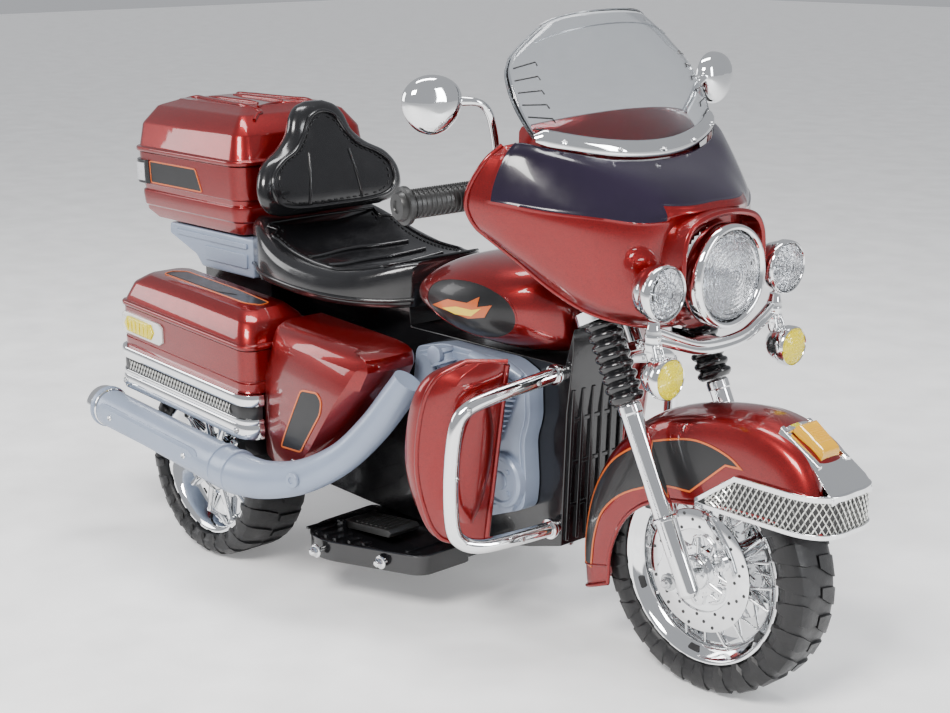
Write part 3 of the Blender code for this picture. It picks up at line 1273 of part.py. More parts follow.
make_board_bolt("footboard_bolt_rear", BOLT_REAR_X)
make_board_bolt("footboard_bolt_front", BOLT_FRONT_X)
both_sides("exhaust", exhaust, "grey", (ROOT, ROOT))
make_seat()
make_backrest()
make_rack()
make_trunk()
make_trunk_lid()
both_sides("saddlebag", saddlebag, "red", (ROOT, ROOT))
both_sides("saddlebag_lid", saddlebag_lid, "red", (BAG_LID_RIGHT, BAG_LID_LEFT))
both_sides("saddlebag_trim", saddlebag_trim, "chrome", (ROOT, ROOT))

ROOT.location.x = -overall_middle()
for made in PARTS.objects:
    if made.type == "MESH":
        made.data.shade_smooth()
        made.data.set_sharp_from_angle(angle=radians(35))
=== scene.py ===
"""Looks of the child's ride-on touring motorcycle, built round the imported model."""

from math import cos, pi, radians, sin, sqrt

import bmesh
import bpy
from mathutils import Matrix, Vector
from mathutils.bvhtree import BVHTree
from mathutils.geometry import delaunay_2d_cdt


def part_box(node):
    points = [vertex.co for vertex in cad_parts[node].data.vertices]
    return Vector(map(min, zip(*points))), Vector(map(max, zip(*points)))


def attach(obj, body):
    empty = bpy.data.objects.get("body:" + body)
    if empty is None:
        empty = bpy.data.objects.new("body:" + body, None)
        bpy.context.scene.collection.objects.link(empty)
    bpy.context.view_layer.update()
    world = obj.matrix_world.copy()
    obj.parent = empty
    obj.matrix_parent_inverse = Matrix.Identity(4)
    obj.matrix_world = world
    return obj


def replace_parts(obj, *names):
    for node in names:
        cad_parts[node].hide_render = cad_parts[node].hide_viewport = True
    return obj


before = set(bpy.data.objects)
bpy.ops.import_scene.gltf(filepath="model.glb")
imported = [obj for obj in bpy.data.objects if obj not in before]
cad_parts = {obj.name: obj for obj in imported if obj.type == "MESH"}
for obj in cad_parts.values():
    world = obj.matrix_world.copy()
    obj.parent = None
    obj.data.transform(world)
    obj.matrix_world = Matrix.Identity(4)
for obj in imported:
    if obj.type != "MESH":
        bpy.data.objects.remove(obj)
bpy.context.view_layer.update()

C, S = "chassis", "steering"
REAR_X = sum(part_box("rear_tyre_right"), Vector()).x / 2
WB = sum(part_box("front_tyre"), Vector()).x / 2 - REAR_X


def vec(x, y, z):
    return Vector((x, y, z))


def at(x, y, z):
    """A point counted from the rear axle, in the shared frame."""
    return vec(x + REAR_X, y, z)


def shifted(outline):
    """A side or plan outline counted from the rear axle, in the shared frame."""
    return [(x + REAR_X, other) for x, other in outline]


# ---------------------------------------------------------------- camera, light and floor

FOCAL_MM, SENSOR_MM = 64.4, 36
CAMERA_AXES = (.67578, .7371, -.00357), (-.18117, .1708, .96851), (.71449, -.65385, .24896)
CAMERA_PLACE = (1.62033, -1.46694, .88065)
SKY_COLOUR, SKY_STRENGTH = (.93, .95, 1, 1), .48
FLOOR_SIZE, FLOOR_SHADE, FLOOR_GLOW = 14, (.93, .93, .93), .22
# name, location, target, size, power, colour
LIGHTS = [("key", (1.1, -2.4, 2.6), (0, 0, .35), (1.3, .9), 150, (1, .98, .95)),
          ("side", (2.6, .6, 1.3), (.2, 0, .35), (.5, 1.5), 42, (.96, .98, 1)),
          ("top", (-.2, .2, 2.7), (0, 0, .3), (1.6, .5), 46, (1, 1, 1)),
          ("rear", (-2.2, -1.5, 1.2), (-.2, 0, .3), (.9, 1.2), 22, (1, 1, 1))]


def add_object(name, data):
    made = bpy.data.objects.new(name, data)
    bpy.context.scene.collection.objects.link(made)
    return made


def make_camera():
    data = bpy.data.cameras.new("camera")
    data.lens = FOCAL_MM
    data.sensor_width = SENSOR_MM
    camera = add_object("camera", data)
    place = Matrix(CAMERA_AXES).transposed().to_4x4()
    place.translation = CAMERA_PLACE
    camera.matrix_world = place
    bpy.context.scene.camera = camera


def make_studio():
    world = bpy.data.worlds.new("studio")
    bpy.context.scene.world = world
    world.use_nodes = True
    sky = world.node_tree.nodes["Background"].inputs
    sky["Color"].default_value = SKY_COLOUR
    sky["Strength"].default_value = SKY_STRENGTH
    for name, location, target, size, power, colour in LIGHTS:
        data = bpy.data.lights.new(name, "AREA")
        data.shape = "RECTANGLE"
        data.size, data.size_y = size
        data.energy = power
        data.color = colour
        light = add_object(name, data)
        light.location = location
        light.rotation_euler = (Vector(target) - Vector(location)).to_track_quat("-Z", "Y").to_euler()
    bm = bmesh.new()
    bmesh.ops.create_grid(bm, x_segments=1, y_segments=1, size=FLOOR_SIZE)
    mesh = bpy.data.meshes.new("floor")
    bm.to_mesh(mesh)
    bm.free()
    floor = add_object("floor", mesh)
    paint = finish_of("floor_paint", FLOOR_SHADE, .7)
    shader = paint.node_tree.nodes["Principled BSDF"]
    shader.inputs["Emission Color"].default_value = (1, 1, 1, 1)
    shader.inputs["Emission Strength"].default_value = FLOOR_GLOW
    mesh.materials.append(paint)


# ---------------------------------------------------------------- materials

def nodes_of(name):
    """A new node material, its tree and its shader."""
    made = bpy.data.materials.new(name)
    made.use_nodes = True
    tree = made.node_tree
    return made, tree, tree.nodes["Principled BSDF"]


def add(tree, kind, **values):
    """A node with some sockets or settings filled in."""
    node = tree.nodes.new(kind)
    for key, value in values.items():
        if key in node.inputs:
            node.inputs[key].default_value = value
        else:
            setattr(node, key, value)
    return node


def ramp(tree, source, low, high, first, second):
    """A colour ramp fed by a socket."""
    node = tree.nodes.new("ShaderNodeValToRGB")
    node.color_ramp.elements[0].position = low
    node.color_ramp.elements[0].color = (*first, 1)
    node.color_ramp.elements[1].position = high
    node.color_ramp.elements[1].color = (*second, 1)
    tree.links.new(source, node.inputs["Fac"])
    return node.outputs["Color"]


def noise(tree, scale, detail, rough=.55):
    """Noise in object space, in cycles a metre."""
    coords = tree.nodes.new("ShaderNodeTexCoord")
    node = add(tree, "ShaderNodeTexNoise", Scale=scale, Detail=detail, Roughness=rough)
    tree.links.new(coords.outputs["Object"], node.inputs["Vector"])
    return node.outputs["Fac"]


def finish_of(name, colour, rough, metal=0.0, coat=0.0, vary=.1, wear=.06, grain=0.0, grain_scale=900,
              wave=0.0, wave_scale=12, spec=.5):
    """A moulded or plated surface: slow colour change, smudged roughness, and fine grain or ripple as bump."""
    made, tree, shader = nodes_of(name)
    dark = tuple(channel * (1 - vary) for channel in colour)
    light = tuple(min(1, channel * (1 + vary)) for channel in colour)
    tree.links.new(ramp(tree, noise(tree, 9, 3), .3, .7, dark, light), shader.inputs["Base Color"])
    low = max(.01, rough - wear)
    high = rough + wear
    tree.links.new(ramp(tree, noise(tree, 45, 6, .65), .35, .75, (low,) * 3, (high,) * 3),
                   shader.inputs["Roughness"])
    shader.inputs["Metallic"].default_value = metal
    shader.inputs["Coat Weight"].default_value = coat
    shader.inputs["Coat Roughness"].default_value = .03
    shader.inputs["Specular IOR Level"].default_value = spec
    normal = None
    for height, scale, detail in ((wave, wave_scale, 1.0), (grain, grain_scale, 5.0)):
        if not height:
            continue
        bump = add(tree, "ShaderNodeBump", Strength=height, Distance=.001)
        tree.links.new(noise(tree, scale, detail), bump.inputs["Height"])
        if normal:
            tree.links.new(normal, bump.inputs["Normal"])
        normal = bump.outputs["Normal"]
    if normal:
        tree.links.new(normal, shader.inputs["Normal"])
        if coat:
            tree.links.new(normal, shader.inputs["Coat Normal"])
    return made


def candy_paint(name, colour, bright):
    """Clear-coated metallic plastic: flakes in the base, a gentle ripple in the coat."""
    made, tree, shader = nodes_of(name)
    flakes = add(tree, "ShaderNodeTexVoronoi", Scale=1500)
    coords = tree.nodes.new("ShaderNodeTexCoord")
    tree.links.new(coords.outputs["Object"], flakes.inputs["Vector"])
    tone = ramp(tree, flakes.outputs["Distance"], .1, .85, bright, colour)
    cloud = ramp(tree, noise(tree, 5, 2), .25, .75, (.86,) * 3, (1.0,) * 3)
    mix = add(tree, "ShaderNodeMix", data_type="RGBA", blend_type="MULTIPLY")
    mix.inputs["Factor"].default_value = 1
    tree.links.new(tone, mix.inputs[6])
    tree.links.new(cloud, mix.inputs[7])
    tree.links.new(mix.outputs[2], shader.inputs["Base Color"])
    shader.inputs["Metallic"].default_value = .72
    tree.links.new(ramp(tree, noise(tree, 60, 5), .3, .8, (.3,) * 3, (.4,) * 3),
                   shader.inputs["Roughness"])
    shader.inputs["Coat Weight"].default_value = 1.0
    shader.inputs["Coat Roughness"].default_value = .03
    shader.inputs["Coat IOR"].default_value = 1.42
    glint = add(tree, "ShaderNodeBump", Strength=.05, Distance=.0004)
    tree.links.new(flakes.outputs["Distance"], glint.inputs["Height"])
    tree.links.new(glint.outputs["Normal"], shader.inputs["Normal"])
    ripple = add(tree, "ShaderNodeBump", Strength=.1, Distance=.0015)
    tree.links.new(noise(tree, 26, 2), ripple.inputs["Height"])
    tree.links.new(ripple.outputs["Normal"], shader.inputs["Coat Normal"])
    return made


def clear_plastic(name, colour, rough, cells=0.0):
    """Clear moulding, with small cells pressed into it if asked for."""
    made, tree, shader = nodes_of(name)
    tree.links.new(ramp(tree, noise(tree, 14, 2), .3, .7, tuple(c * .95 for c in colour), colour),
                   shader.inputs["Base Color"])
    tree.links.new(ramp(tree, noise(tree, 80, 5), .4, .8, (rough,) * 3, (rough + .05,) * 3),
                   shader.inputs["Roughness"])
    shader.inputs["Transmission Weight"].default_value = 1.0
    shader.inputs["IOR"].default_value = 1.46
    if cells:
        pattern = add(tree, "ShaderNodeTexVoronoi", Scale=200)
        coords = tree.nodes.new("ShaderNodeTexCoord")
        tree.links.new(coords.outputs["Object"], pattern.inputs["Vector"])
        bump = add(tree, "ShaderNodeBump", Strength=cells, Distance=.002)
        tree.links.new(pattern.outputs["Distance"], bump.inputs["Height"])
        tree.links.new(bump.outputs["Normal"], shader.inputs["Normal"])
    return made


def tinted_lens(name, colour, rough):
    """Coloured lens plastic that lets part of the light through."""
    made = finish_of(name, colour, rough, 0.0, .6, .08, .05, wave=.25, wave_scale=160)
    shader = made.node_tree.nodes["Principled BSDF"]
    shader.inputs["Transmission Weight"].default_value = .35
    shader.inputs["IOR"].default_value = 1.45
    return made


RED = candy_paint("candy_red", (.12, .0006, .0012), (.33, .003, .004))
CHARCOAL = finish_of("charcoal_gloss", (.01, .006, .017), .2, 0.0, .45, .25, .04, wave=.06, spec=.3)
BLACK = finish_of("gloss_black", (.006, .006, .007), .22, 0.0, .35, .3, .07, wave=.1, wave_scale=40)
SATIN = finish_of("satin_black", (.009, .009, .01), .42, 0.0, .15, .3, .08, grain=.12)
GREY = finish_of("grey_plastic", (.25, .3, .4), .38, .15, .25, .07, .07, grain=.05, wave=.05)
DARK_GREY = finish_of("dark_inset", (.045, .046, .05), .5, 0.0, .1, .2, .08, grain=.15)
CHROME = finish_of("plated_chrome", (.86, .87, .88), .06, 1.0, 0.0, .02, .035, wave=.03, wave_scale=60)
SILVER = finish_of("plated_silver", (.74, .74, .7), .2, 1.0, 0.0, .05, .08, grain=.06, grain_scale=400)
STEEL = finish_of("zinc_steel", (.56, .57, .58), .3, 1.0, 0.0, .08, .1, grain=.08)
RUBBER = finish_of("soft_rubber", (.012, .012, .012), .42, 0.0, 0.0, .25, .12, grain=.15)
TYRE = finish_of("tyre_black", (.008, .008, .009), .5, 0.0, 0.0, .3, .14, grain=.3, grain_scale=500)
DECAL = finish_of("decal_black", (.011, .011, .012), .36, 0.0, .2, .15, .05, spec=.35)
ORANGE = finish_of("decal_orange", (.55, .11, .015), .35, 0.0, .3, .12, .05)
YELLOW = finish_of("decal_yellow", (.9, .62, .03), .35, 0.0, .3, .12, .05)
WHITE_PLATE = finish_of("pearl_plate", (.72, .71, .68), .22, .35, .5, .05, .06, wave=.06)
PALE = finish_of("pale_sticker", (.62, .63, .66), .3, .2, .4, .06, .06)
MIRROR_GLASS = finish_of("mirror_glass", (.93, .94, .95), .015, 1.0, 0.0, .01, .01)
CLEAR = clear_plastic("clear_screen", (.84, .87, .9), .02)
CLEAR_EDGE = clear_plastic("screen_edge", (.62, .65, .68), .06)
LENS = clear_plastic("clear_lens", (.97, .98, 1.0), .02, .12)
AMBER = tinted_lens("amber_lens", (1.0, .5, 0.0), .1)
YELLOW_LENS = tinted_lens("yellow_lens", (1.0, .8, 0.0), .1)
BATTERY = finish_of("battery_case", (.1, .12, .16), .5, 0.0, 0.0, .1, .08, grain=.1)


# ---------------------------------------------------------------- mesh tools

def piece(name, bm, mats, body, smooth=38, bevel=0.0, wall=0.0, segments=2):
    """A bmesh as a finished object that rides on a body."""
    bmesh.ops.remove_doubles(bm, verts=bm.verts, dist=.000002)
    bmesh.ops.recalc_face_normals(bm, faces=bm.faces)
    mesh = bpy.data.meshes.new(name)
    bm.to_mesh(mesh)
    bm.free()
    obj = add_object(name, mesh)
    for mat in mats if isinstance(mats, (list, tuple)) else [mats]:
        mesh.materials.append(mat)
    mesh.shade_smooth()
    mesh.set_sharp_from_angle(angle=radians(smooth))
    if wall:
        modifier = obj.modifiers.new("wall", "SOLIDIFY")
        modifier.thickness = wall
        modifier.offset = -1
    if bevel:
        modifier = obj.modifiers.new("edges", "BEVEL")
        modifier.width = bevel
        modifier.segments = segments
        modifier.limit_method = "ANGLE"
        modifier.angle_limit = radians(32)
        modifier.harden_normals = True
    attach(obj, body)
    return obj


def both(name, build, mats, body, left_body=None, node=None, **how):
    """A piece built on the right side and its mirror image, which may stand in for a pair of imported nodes."""
    made = []
    for side, sign in (("right", 1), ("left", -1)):
        bm = bmesh.new()
        build(bm)
        if sign < 0:
            for vert in bm.verts:
                vert.co.y = -vert.co.y
        made.append(piece(f"{name}_{side}", bm, mats, body if sign > 0 else left_body or body, **how))
        if node:
            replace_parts(made[-1], f"{node}_{side}")
    return made


def one(name, build, mats, body, node=None, **how):
    """A single piece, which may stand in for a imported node."""
    bm = bmesh.new()
    build(bm)
    made = piece(name, bm, mats, body, **how)
    if node:
        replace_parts(made, node)
    return made


def add_box(bm, low, high, matrix=None):
    """A box between two corners."""
    made = bmesh.ops.create_cube(bm, size=1)["verts"]
    low, high = Vector(low), Vector(high)
    for vert in made:
        vert.co = Vector([low[i] + (vert.co[i] + .5) * (high[i] - low[i]) for i in range(3)])
        if matrix is not None:
            vert.co = matrix @ vert.co


def whole(left):
    """A half line from the middle to the left, completed with its mirror image on the right."""
    return [vec(p.x, -p.y, p.z) for p in reversed(left[1:])] + left


def spin(centre, radius, turn, y):
    """A point at a radius and an angle round a cross axis."""
    return centre + vec(radius * cos(turn), y, radius * sin(turn))


def frame_along(a, b):
    """A matrix at a whose Z points to b."""
    turn = (Vector(b) - Vector(a)).to_track_quat("Z", "Y").to_matrix().to_4x4()
    return Matrix.Translation(Vector(a)) @ turn


def add_rev(bm, profile, a, b, sides=48, closed=False, mat=0):
    """A (radius, height) profile turned round the axis from a towards b, or along b if b is a tuple."""
    b = a + Vector(b) if isinstance(b, tuple) else b
    place = frame_along(a, b)
    rings = []
    for radius, height in profile:
        if radius < 1e-7:
            rings.append([bm.verts.new(place @ vec(0, 0, height))])
            continue
        rings.append([bm.verts.new(place @ vec(radius * cos(2 * pi * i / sides),
                                                   radius * sin(2 * pi * i / sides), height))
                      for i in range(sides)])
    pairs = list(zip(rings, rings[1:]))
    if closed:
        pairs.append((rings[-1], rings[0]))
    for ring, after in pairs:
        for i in range(sides):
            j = (i + 1) % sides
            corners = [ring[i % len(ring)], ring[j % len(ring)], after[j % len(after)], after[i % len(after)]]
            unique = list(dict.fromkeys(corners))
            if len(unique) > 2:
                bm.faces.new(unique).material_index = mat


def add_cyl(bm, a, b, radius, end_radius=None, sides=32, mat=0, chamfer=0.0):
    length = (Vector(b) - Vector(a)).length
    end = radius if end_radius is None else end_radius
    if chamfer:
        profile = [(0, 0), (radius - chamfer, 0), (radius, chamfer), (end, length - chamfer),
                   (end - chamfer, length), (0, length)]
    else:
        profile = [(0, 0), (radius, 0), (end, length), (0, length)]
    add_rev(bm, profile, a, b, sides, mat=mat)


def add_loft(bm, rings, cap=True, mat=0, closed_ring=True):
    """A skin over rings of equal length, capped at both ends."""
    made = [[bm.verts.new(point) for point in ring] for ring in rings]
    count = len(rings[0])
    span = count if closed_ring else count - 1
    for ring, after in zip(made, made[1:]):
        for i in range(span):
            j = (i + 1) % count
            bm.faces.new((ring[i], ring[j], after[j], after[i])).material_index = mat
    if cap:
        bm.faces.new(made[0]).material_index = mat
        bm.faces.new(made[-1]).material_index = mat
    return made


def columns(rows):
    """Rows of points turned into columns."""
    return [list(column) for column in zip(*rows)]


def catmull(points, steps, closed=False):
    """A smooth run through points, with steps pieces between neighbours."""
    points = [Vector(point) for point in points]
    count = len(points)
    out = []
    for i in range(count if closed else count - 1):
        if closed:
            p0, p1, p2, p3 = (points[(i + k - 1) % count] for k in range(4))
        else:
            p1, p2 = points[i], points[i + 1]
            p0 = points[i - 1] if i else p1 * 2 - p2
            p3 = points[i + 2] if i + 2 < count else p2 * 2 - p1
        for step in range(steps):
            t = step / steps
            out.append(.5 * (2 * p1 + (p2 - p0) * t + (2 * p0 - 5 * p1 + 4 * p2 - p3) * t * t
                              + (3 * p1 - p0 - 3 * p2 + p3) * t ** 3))
    if not closed:
        out.append(points[-1])
    return out


def dense(rows, across, along, closed=False):
    """Control rows as a fine grid: across steps between rows, along steps inside a row."""
    rows = [catmull(row, along, closed) for row in rows]
    return columns([catmull(column, across) for column in zip(*rows)])


def add_tube(bm, points, radius, sides=20, smooth=6, radii=None):
    """A tube along points, with a factor of its radius at each."""
    count = len(points)
    radii = radii or [1] * count
    if smooth:
        path = catmull(points, smooth)
        width = [v.x for v in catmull([(r, 0, 0) for r in radii], smooth)]
    else:
        path, width = [Vector(p) for p in points], list(radii)
    side = None
    rings = []
    for i, point in enumerate(path):
        ahead = (path[min(i + 1, len(path) - 1)] - path[max(i - 1, 0)]).normalized()
        if side is None:
            side = ahead.orthogonal().normalized()
        side = (side - ahead * side.dot(ahead)).normalized()
        other = ahead.cross(side)
        rings.append([point + (side * cos(2 * pi * k / sides) + other * sin(2 * pi * k / sides)) * radius * width[i]
                      for k in range(sides)])
    add_loft(bm, rings)


def add_plate(bm, outline, low, high, plane="XZ", matrix=None):
    """A flat outline between two depths along the axis that the plane leaves out."""
    def to3(a, b, depth):
        point = {"XZ": (a, depth, b), "XY": (a, b, depth), "YZ": (depth, a, b)}[plane]
        return matrix @ Vector(point) if matrix is not None else Vector(point)
    add_loft(bm, [[to3(a, b, low) for a, b in outline], [to3(a, b, high) for a, b in outline]])


def round_outline(outline, radius, steps=4):
    """The outline with each corner rounded."""
    out = []
    count = len(outline)
    for i, corner in enumerate(outline):
        before, after = Vector(outline[i - 1]), Vector(outline[(i + 1) % count])
        corner = Vector(corner)
        a, b = before - corner, after - corner
        reach = min(radius, a.length * .45, b.length * .45)
        start, end = corner + a.normalized() * reach, corner + b.normalized() * reach
        for step in range(steps + 1):
            t = step / steps
            out.append(tuple((1 - t) ** 2 * start + 2 * t * (1 - t) * corner + t * t * end))
    return out


def inset(outline, distance):
    """The outline moved inwards by distance."""
    count = len(outline)
    area = sum(outline[i - 1][0] * outline[i][1] - outline[i][0] * outline[i - 1][1] for i in range(count))
    sign = 1 if area > 0 else -1
    out = []
    for i in range(count):
        a, b, c = Vector(outline[i - 1]), Vector(outline[i]), Vector(outline[(i + 1) % count])
        first, second = (b - a).normalized(), (c - b).normalized()
        normal = Vector((-(first + second).y, (first + second).x)).normalized() * sign
        out.append(tuple(b + normal * distance))
    return out


def tree_of(*objects):
    """A search tree over the finished surfaces of some pieces."""
    bpy.context.view_layer.update()
    graph = bpy.context.evaluated_depsgraph_get()
    verts, faces = [], []
    for obj in objects:
        evaluated = obj.evaluated_get(graph)
        mesh = evaluated.to_mesh()
        base = len(verts)
        verts += [evaluated.matrix_world @ v.co for v in mesh.vertices]
        faces += [[base + i for i in face.vertices] for face in mesh.polygons]
        evaluated.to_mesh_clear()
    return BVHTree.FromPolygons(verts, faces)


SIDE, ABOVE = ((1, 0, 0), (0, 0, 1)), ((1, 0, 0), (0, 1, 0))


def thrower(tree, origin, axes):
    """Carries a flat point (u, v) on to the surface: its place there, and the normal facing back."""
    u, v = Vector(axes[0]), Vector(axes[1])
    throw = v.cross(u)
    origin = Vector(origin)

    def drop(point):
        start = origin + u * point[0] + v * point[1]
        hit, normal, _, _ = tree.ray_cast(start, throw)
        if hit is None:
            hit, normal, _, _ = tree.find_nearest(start + throw * .05)
        return hit, -normal if normal.dot(throw) > 0 else normal
    return drop


def split_rim(outline, step):
    """The outline's edge as points about a step apart."""
    rim = []
    for i, corner in enumerate(outline):
        a, b = Vector(corner), Vector(outline[(i + 1) % len(outline)])
        parts = max(1, int((b - a).length / step))
        rim += [a + (b - a) * k / parts for k in range(parts)]
    return rim


def add_patch(bm, outline, origin, axes, tree, lift, step=.004, mat=0, thick=.0006):
    """A thin closed sheet laid on a surface: the outline is thrown on to it along the cross product of the axes."""
    drop = thrower(tree, origin, axes)
    rim = split_rim(outline, step)
    xs, ys = [p.x for p in rim], [p.y for p in rim]
    inner = []
    for i in range(int((max(xs) - min(xs)) / step)):
        for j in range(int((max(ys) - min(ys)) / step)):
            inner.append(Vector((min(xs) + (i + .5) * step, min(ys) + (j + .5) * step)))
    kept = [p for p in inner if min((p - q).length for q in rim) > step * .5]
    count = len(rim)
    points, _, faces, *_ = delaunay_2d_cdt(rim + kept, [(i, (i + 1) % count) for i in range(count)],
                                           [list(range(count))], 1, 1e-7)
    top, low = [], []
    for hit, normal in (drop(point) for point in points):
        top.append(bm.verts.new(hit + normal * lift))
        low.append(bm.verts.new(hit + normal * (lift - thick)))
    edges = {}
    for face in faces:
        bm.faces.new([top[i] for i in face]).material_index = mat
        bm.faces.new([low[i] for i in reversed(face)]).material_index = mat
        for i in range(len(face)):
            pair = frozenset((face[i - 1], face[i]))
            edges[pair] = edges.get(pair, 0) + 1
    for pair, uses in edges.items():
        if uses == 1:
            i, j = tuple(pair)
            bm.faces.new((top[i], top[j], low[j], low[i])).material_index = mat


def bordered(bm, outline, origin, axes, tree, border, step):
    """A decal with a pinstripe round it: a field, and a raised flat band along its edge."""
    lift, proud, sunk = .0005, .001, .0004
    add_patch(bm, inset(outline, border * .5), origin, axes, tree, lift, step)
    drop = thrower(tree, origin, axes)
    rim = split_rim(outline, step)
    rings = []
    for outer, inner in zip(rim, inset(rim, border)):
        (p, n), (q, m) = drop(outer), drop(inner)
        rings.append([p - n * sunk, p + n * proud, q + m * proud, q - m * sunk])
    add_loft(bm, rings + [rings[0]], False, 1)


def add_stitches(bm, path, lift, length=.0048, radius=.0009, every=.0075):
    """Short raised stitches along a path."""
    run = 0.0
    for a, b in zip(path, path[1:]):
        run += (b - a).length
        if run >= every:
            run = 0.0
            along = (b - a).normalized()
            middle = b + Vector(lift)
            add_cyl(bm, middle - along * length / 2, middle + along * length / 2, radius, sides=6)


def add_screw(bm, centre, axis, radius):
    """A round screw head with a sunk middle."""
    centre, axis = Vector(centre), Vector(axis).normalized()
    add_rev(bm, [(0, -.001), (radius, -.001), (radius, .0012), (radius * .8, .0022), (radius * .3, .0016),
                 (0, .001)], centre, centre + axis, 24)


# ---------------------------------------------------------------- fairing, windscreen and dash

FOOT = at(WB - .103, 0, .622)
LAMP = at(WB - .003, 0, .494)


def screen_foot(share):
    """The windscreen's lower edge; share runs from -1 (right) to 1 (left)."""
    return FOOT + vec(-.05 * share ** 2, .15 * share, .022 * share ** 2)


def screen_point(share, height):
    """A point of the windscreen, with its height from 0 to 1."""
    foot = screen_foot(share)
    widen = 1 + .06 * sin(pi * min(height * 1.3, 1)) - .3 * max(0, (height - .62) / .38) ** 2.2
    top = .78 - .012 * share ** 2
    drop = .022 * abs(share) ** 6 * height
    return vec(foot.x - .078 * height + .012 * height * share ** 2, foot.y * widen,
                   foot.z + (top - foot.z) * height - drop)


FAIRING_HALVES = [
    [(-.06, 0, .43), (-.062, .04, .431), (-.072, .078, .438), (-.105, .112, .452), (-.14, .138, .478),
     (-.17, .16, .508), (-.196, .182, .535)],
    [(-.03, 0, .446), (-.031, .042, .447), (-.048, .082, .456), (-.086, .122, .47), (-.128, .15, .494),
     (-.166, .174, .52), (-.2, .194, .546)],
    [(-.026, 0, .5), (-.027, .044, .5), (-.043, .088, .502), (-.078, .13, .51), (-.122, .162, .526),
     (-.164, .186, .542), (-.204, .202, .56)],
    [(-.02, 0, .556), (-.022, .046, .556), (-.042, .09, .55), (-.076, .134, .556), (-.118, .168, .562),
     (-.16, .192, .57), (-.205, .206, .576)],
    [(-.016, 0, .572), (-.02, .046, .571), (-.05, .09, .574), (-.086, .13, .586), (-.124, .164, .594),
     (-.16, .188, .598), (-.2, .203, .596)],
    [(-.05, 0, .596), (-.054, .046, .596), (-.076, .086, .604), (-.104, .122, .616), (-.134, .154, .624),
     (-.16, .176, .628), (-.188, .192, .622)],
    [(-.098, 0, .6165), (-.1, .046, .618), (-.108, .082, .622), (-.122, .116, .629), (-.146, .146, .637),
     (-.162, .162, .642), (-.18, .174, .638)],
]


def fairing_grid(across, along):
    """The fairing's outer skin as a grid of points."""
    rows = []
    for half in FAIRING_HALVES:
        left = [at(WB + x, y, z) for x, y, z in half]
        rows.append(whole(left))
    return dense(rows, across, along)


def panel_floor(y):
    """Height, in rows, of the dark panel's lower edge: along the crease, then over the brow."""
    return 3.25 if abs(y) > .066 else 4.1


def make_fairing():
    across, along = 14, 12
    grid = fairing_grid(across, along)
    count = len(grid[0])

    def is_panel(row, index):
        point = grid[row][index]
        return row / across > panel_floor(point.y) and 7 < index < count - 8

    bm = bmesh.new()
    marks = [[is_panel(r, i) for i in range(count)] for r in range(len(grid))]
    verts = []
    for r, row in enumerate(grid):
        line = []
        for i, point in enumerate(row):
            near = [marks[a][b] for a in range(max(r - 1, 0), min(r + 2, len(grid)))
                    for b in range(max(i - 1, 0), min(i + 2, count))]
            back = grid[max(r - 1, 0)][i] - grid[min(r + 1, len(grid) - 1)][i]
            side = grid[r][min(i + 1, count - 1)] - grid[r][max(i - 1, 0)]
            normal = side.cross(back).normalized()
            groove = .0012 if marks[r][i] and not all(near) else 0.0
            line.append(bm.verts.new(point - normal * groove))
        verts.append(line)
    for r in range(len(grid) - 1):
        for i in range(count - 1):
            corners = (verts[r][i], verts[r][i + 1], verts[r + 1][i + 1], verts[r + 1][i])
            middle = sum((v.co for v in corners), Vector()) / 4 - LAMP
            if sqrt(middle.y ** 2 + middle.z ** 2) < .052:
                continue
            dark = marks[r][i] and marks[r][i + 1] and marks[r + 1][i] and marks[r + 1][i + 1]
            bm.faces.new(corners).material_index = int(dark)
    body = piece("fairing_shell", bm, [RED, CHARCOAL], S, smooth=60, wall=.003)
    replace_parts(body, "fairing")

    def hem(bm):
        for edge in (grid[0], [row[0] for row in grid], [row[-1] for row in grid]):
            add_tube(bm, [p + vec(-.0015, 0, 0) for p in edge[::4] + [edge[-1]]], .0028, 10, 3)
    one("fairing_hem", hem, RED, S)

    def brow(bm):
        half = [(.066, .445), (.068, .48), (.068, .52), (.064, .541), (.052, .555), (.028, .562), (0, .564)]
        path = [(-y, z) for y, z in half] + [(y, z) for y, z in reversed(half[:-1])]
        path = catmull([(0, y, z) for y, z in path], 5)
        rings = []
        for i, p in enumerate(path):
            ahead = (path[min(i + 1, len(path) - 1)] - path[max(i - 1, 0)]).normalized()
            out = vec(0, -ahead.z, ahead.y)
            if out.dot(vec(0, p.y, p.z - LAMP.z)) < 0:
                out = -out
            lift = max(0.0, min(1.0, (p.z - .445) / .05))
            front = WB - .02 + .018 * lift
            back = WB - .055
            rings.append([at(front, p.y, p.z) + out * .0045, at(front + .0025, p.y, p.z) + out * .001,
                          at(front, p.y, p.z) - out * .003, at(back, p.y, p.z) - out * .003,
                          at(back, p.y, p.z) + out * .003])
        add_loft(bm, rings)
    one("fairing_brow", brow, RED, S, smooth=50, bevel=.001)

    def pocket(bm):
        add_rev(bm, [(.0505, .03), (.064, .03), (.067, .024), (.0505, .018)],
                LAMP + vec(-.06, 0, 0), LAMP, 64, closed=True)
    one("fairing_lamp_pocket", pocket, RED, S)


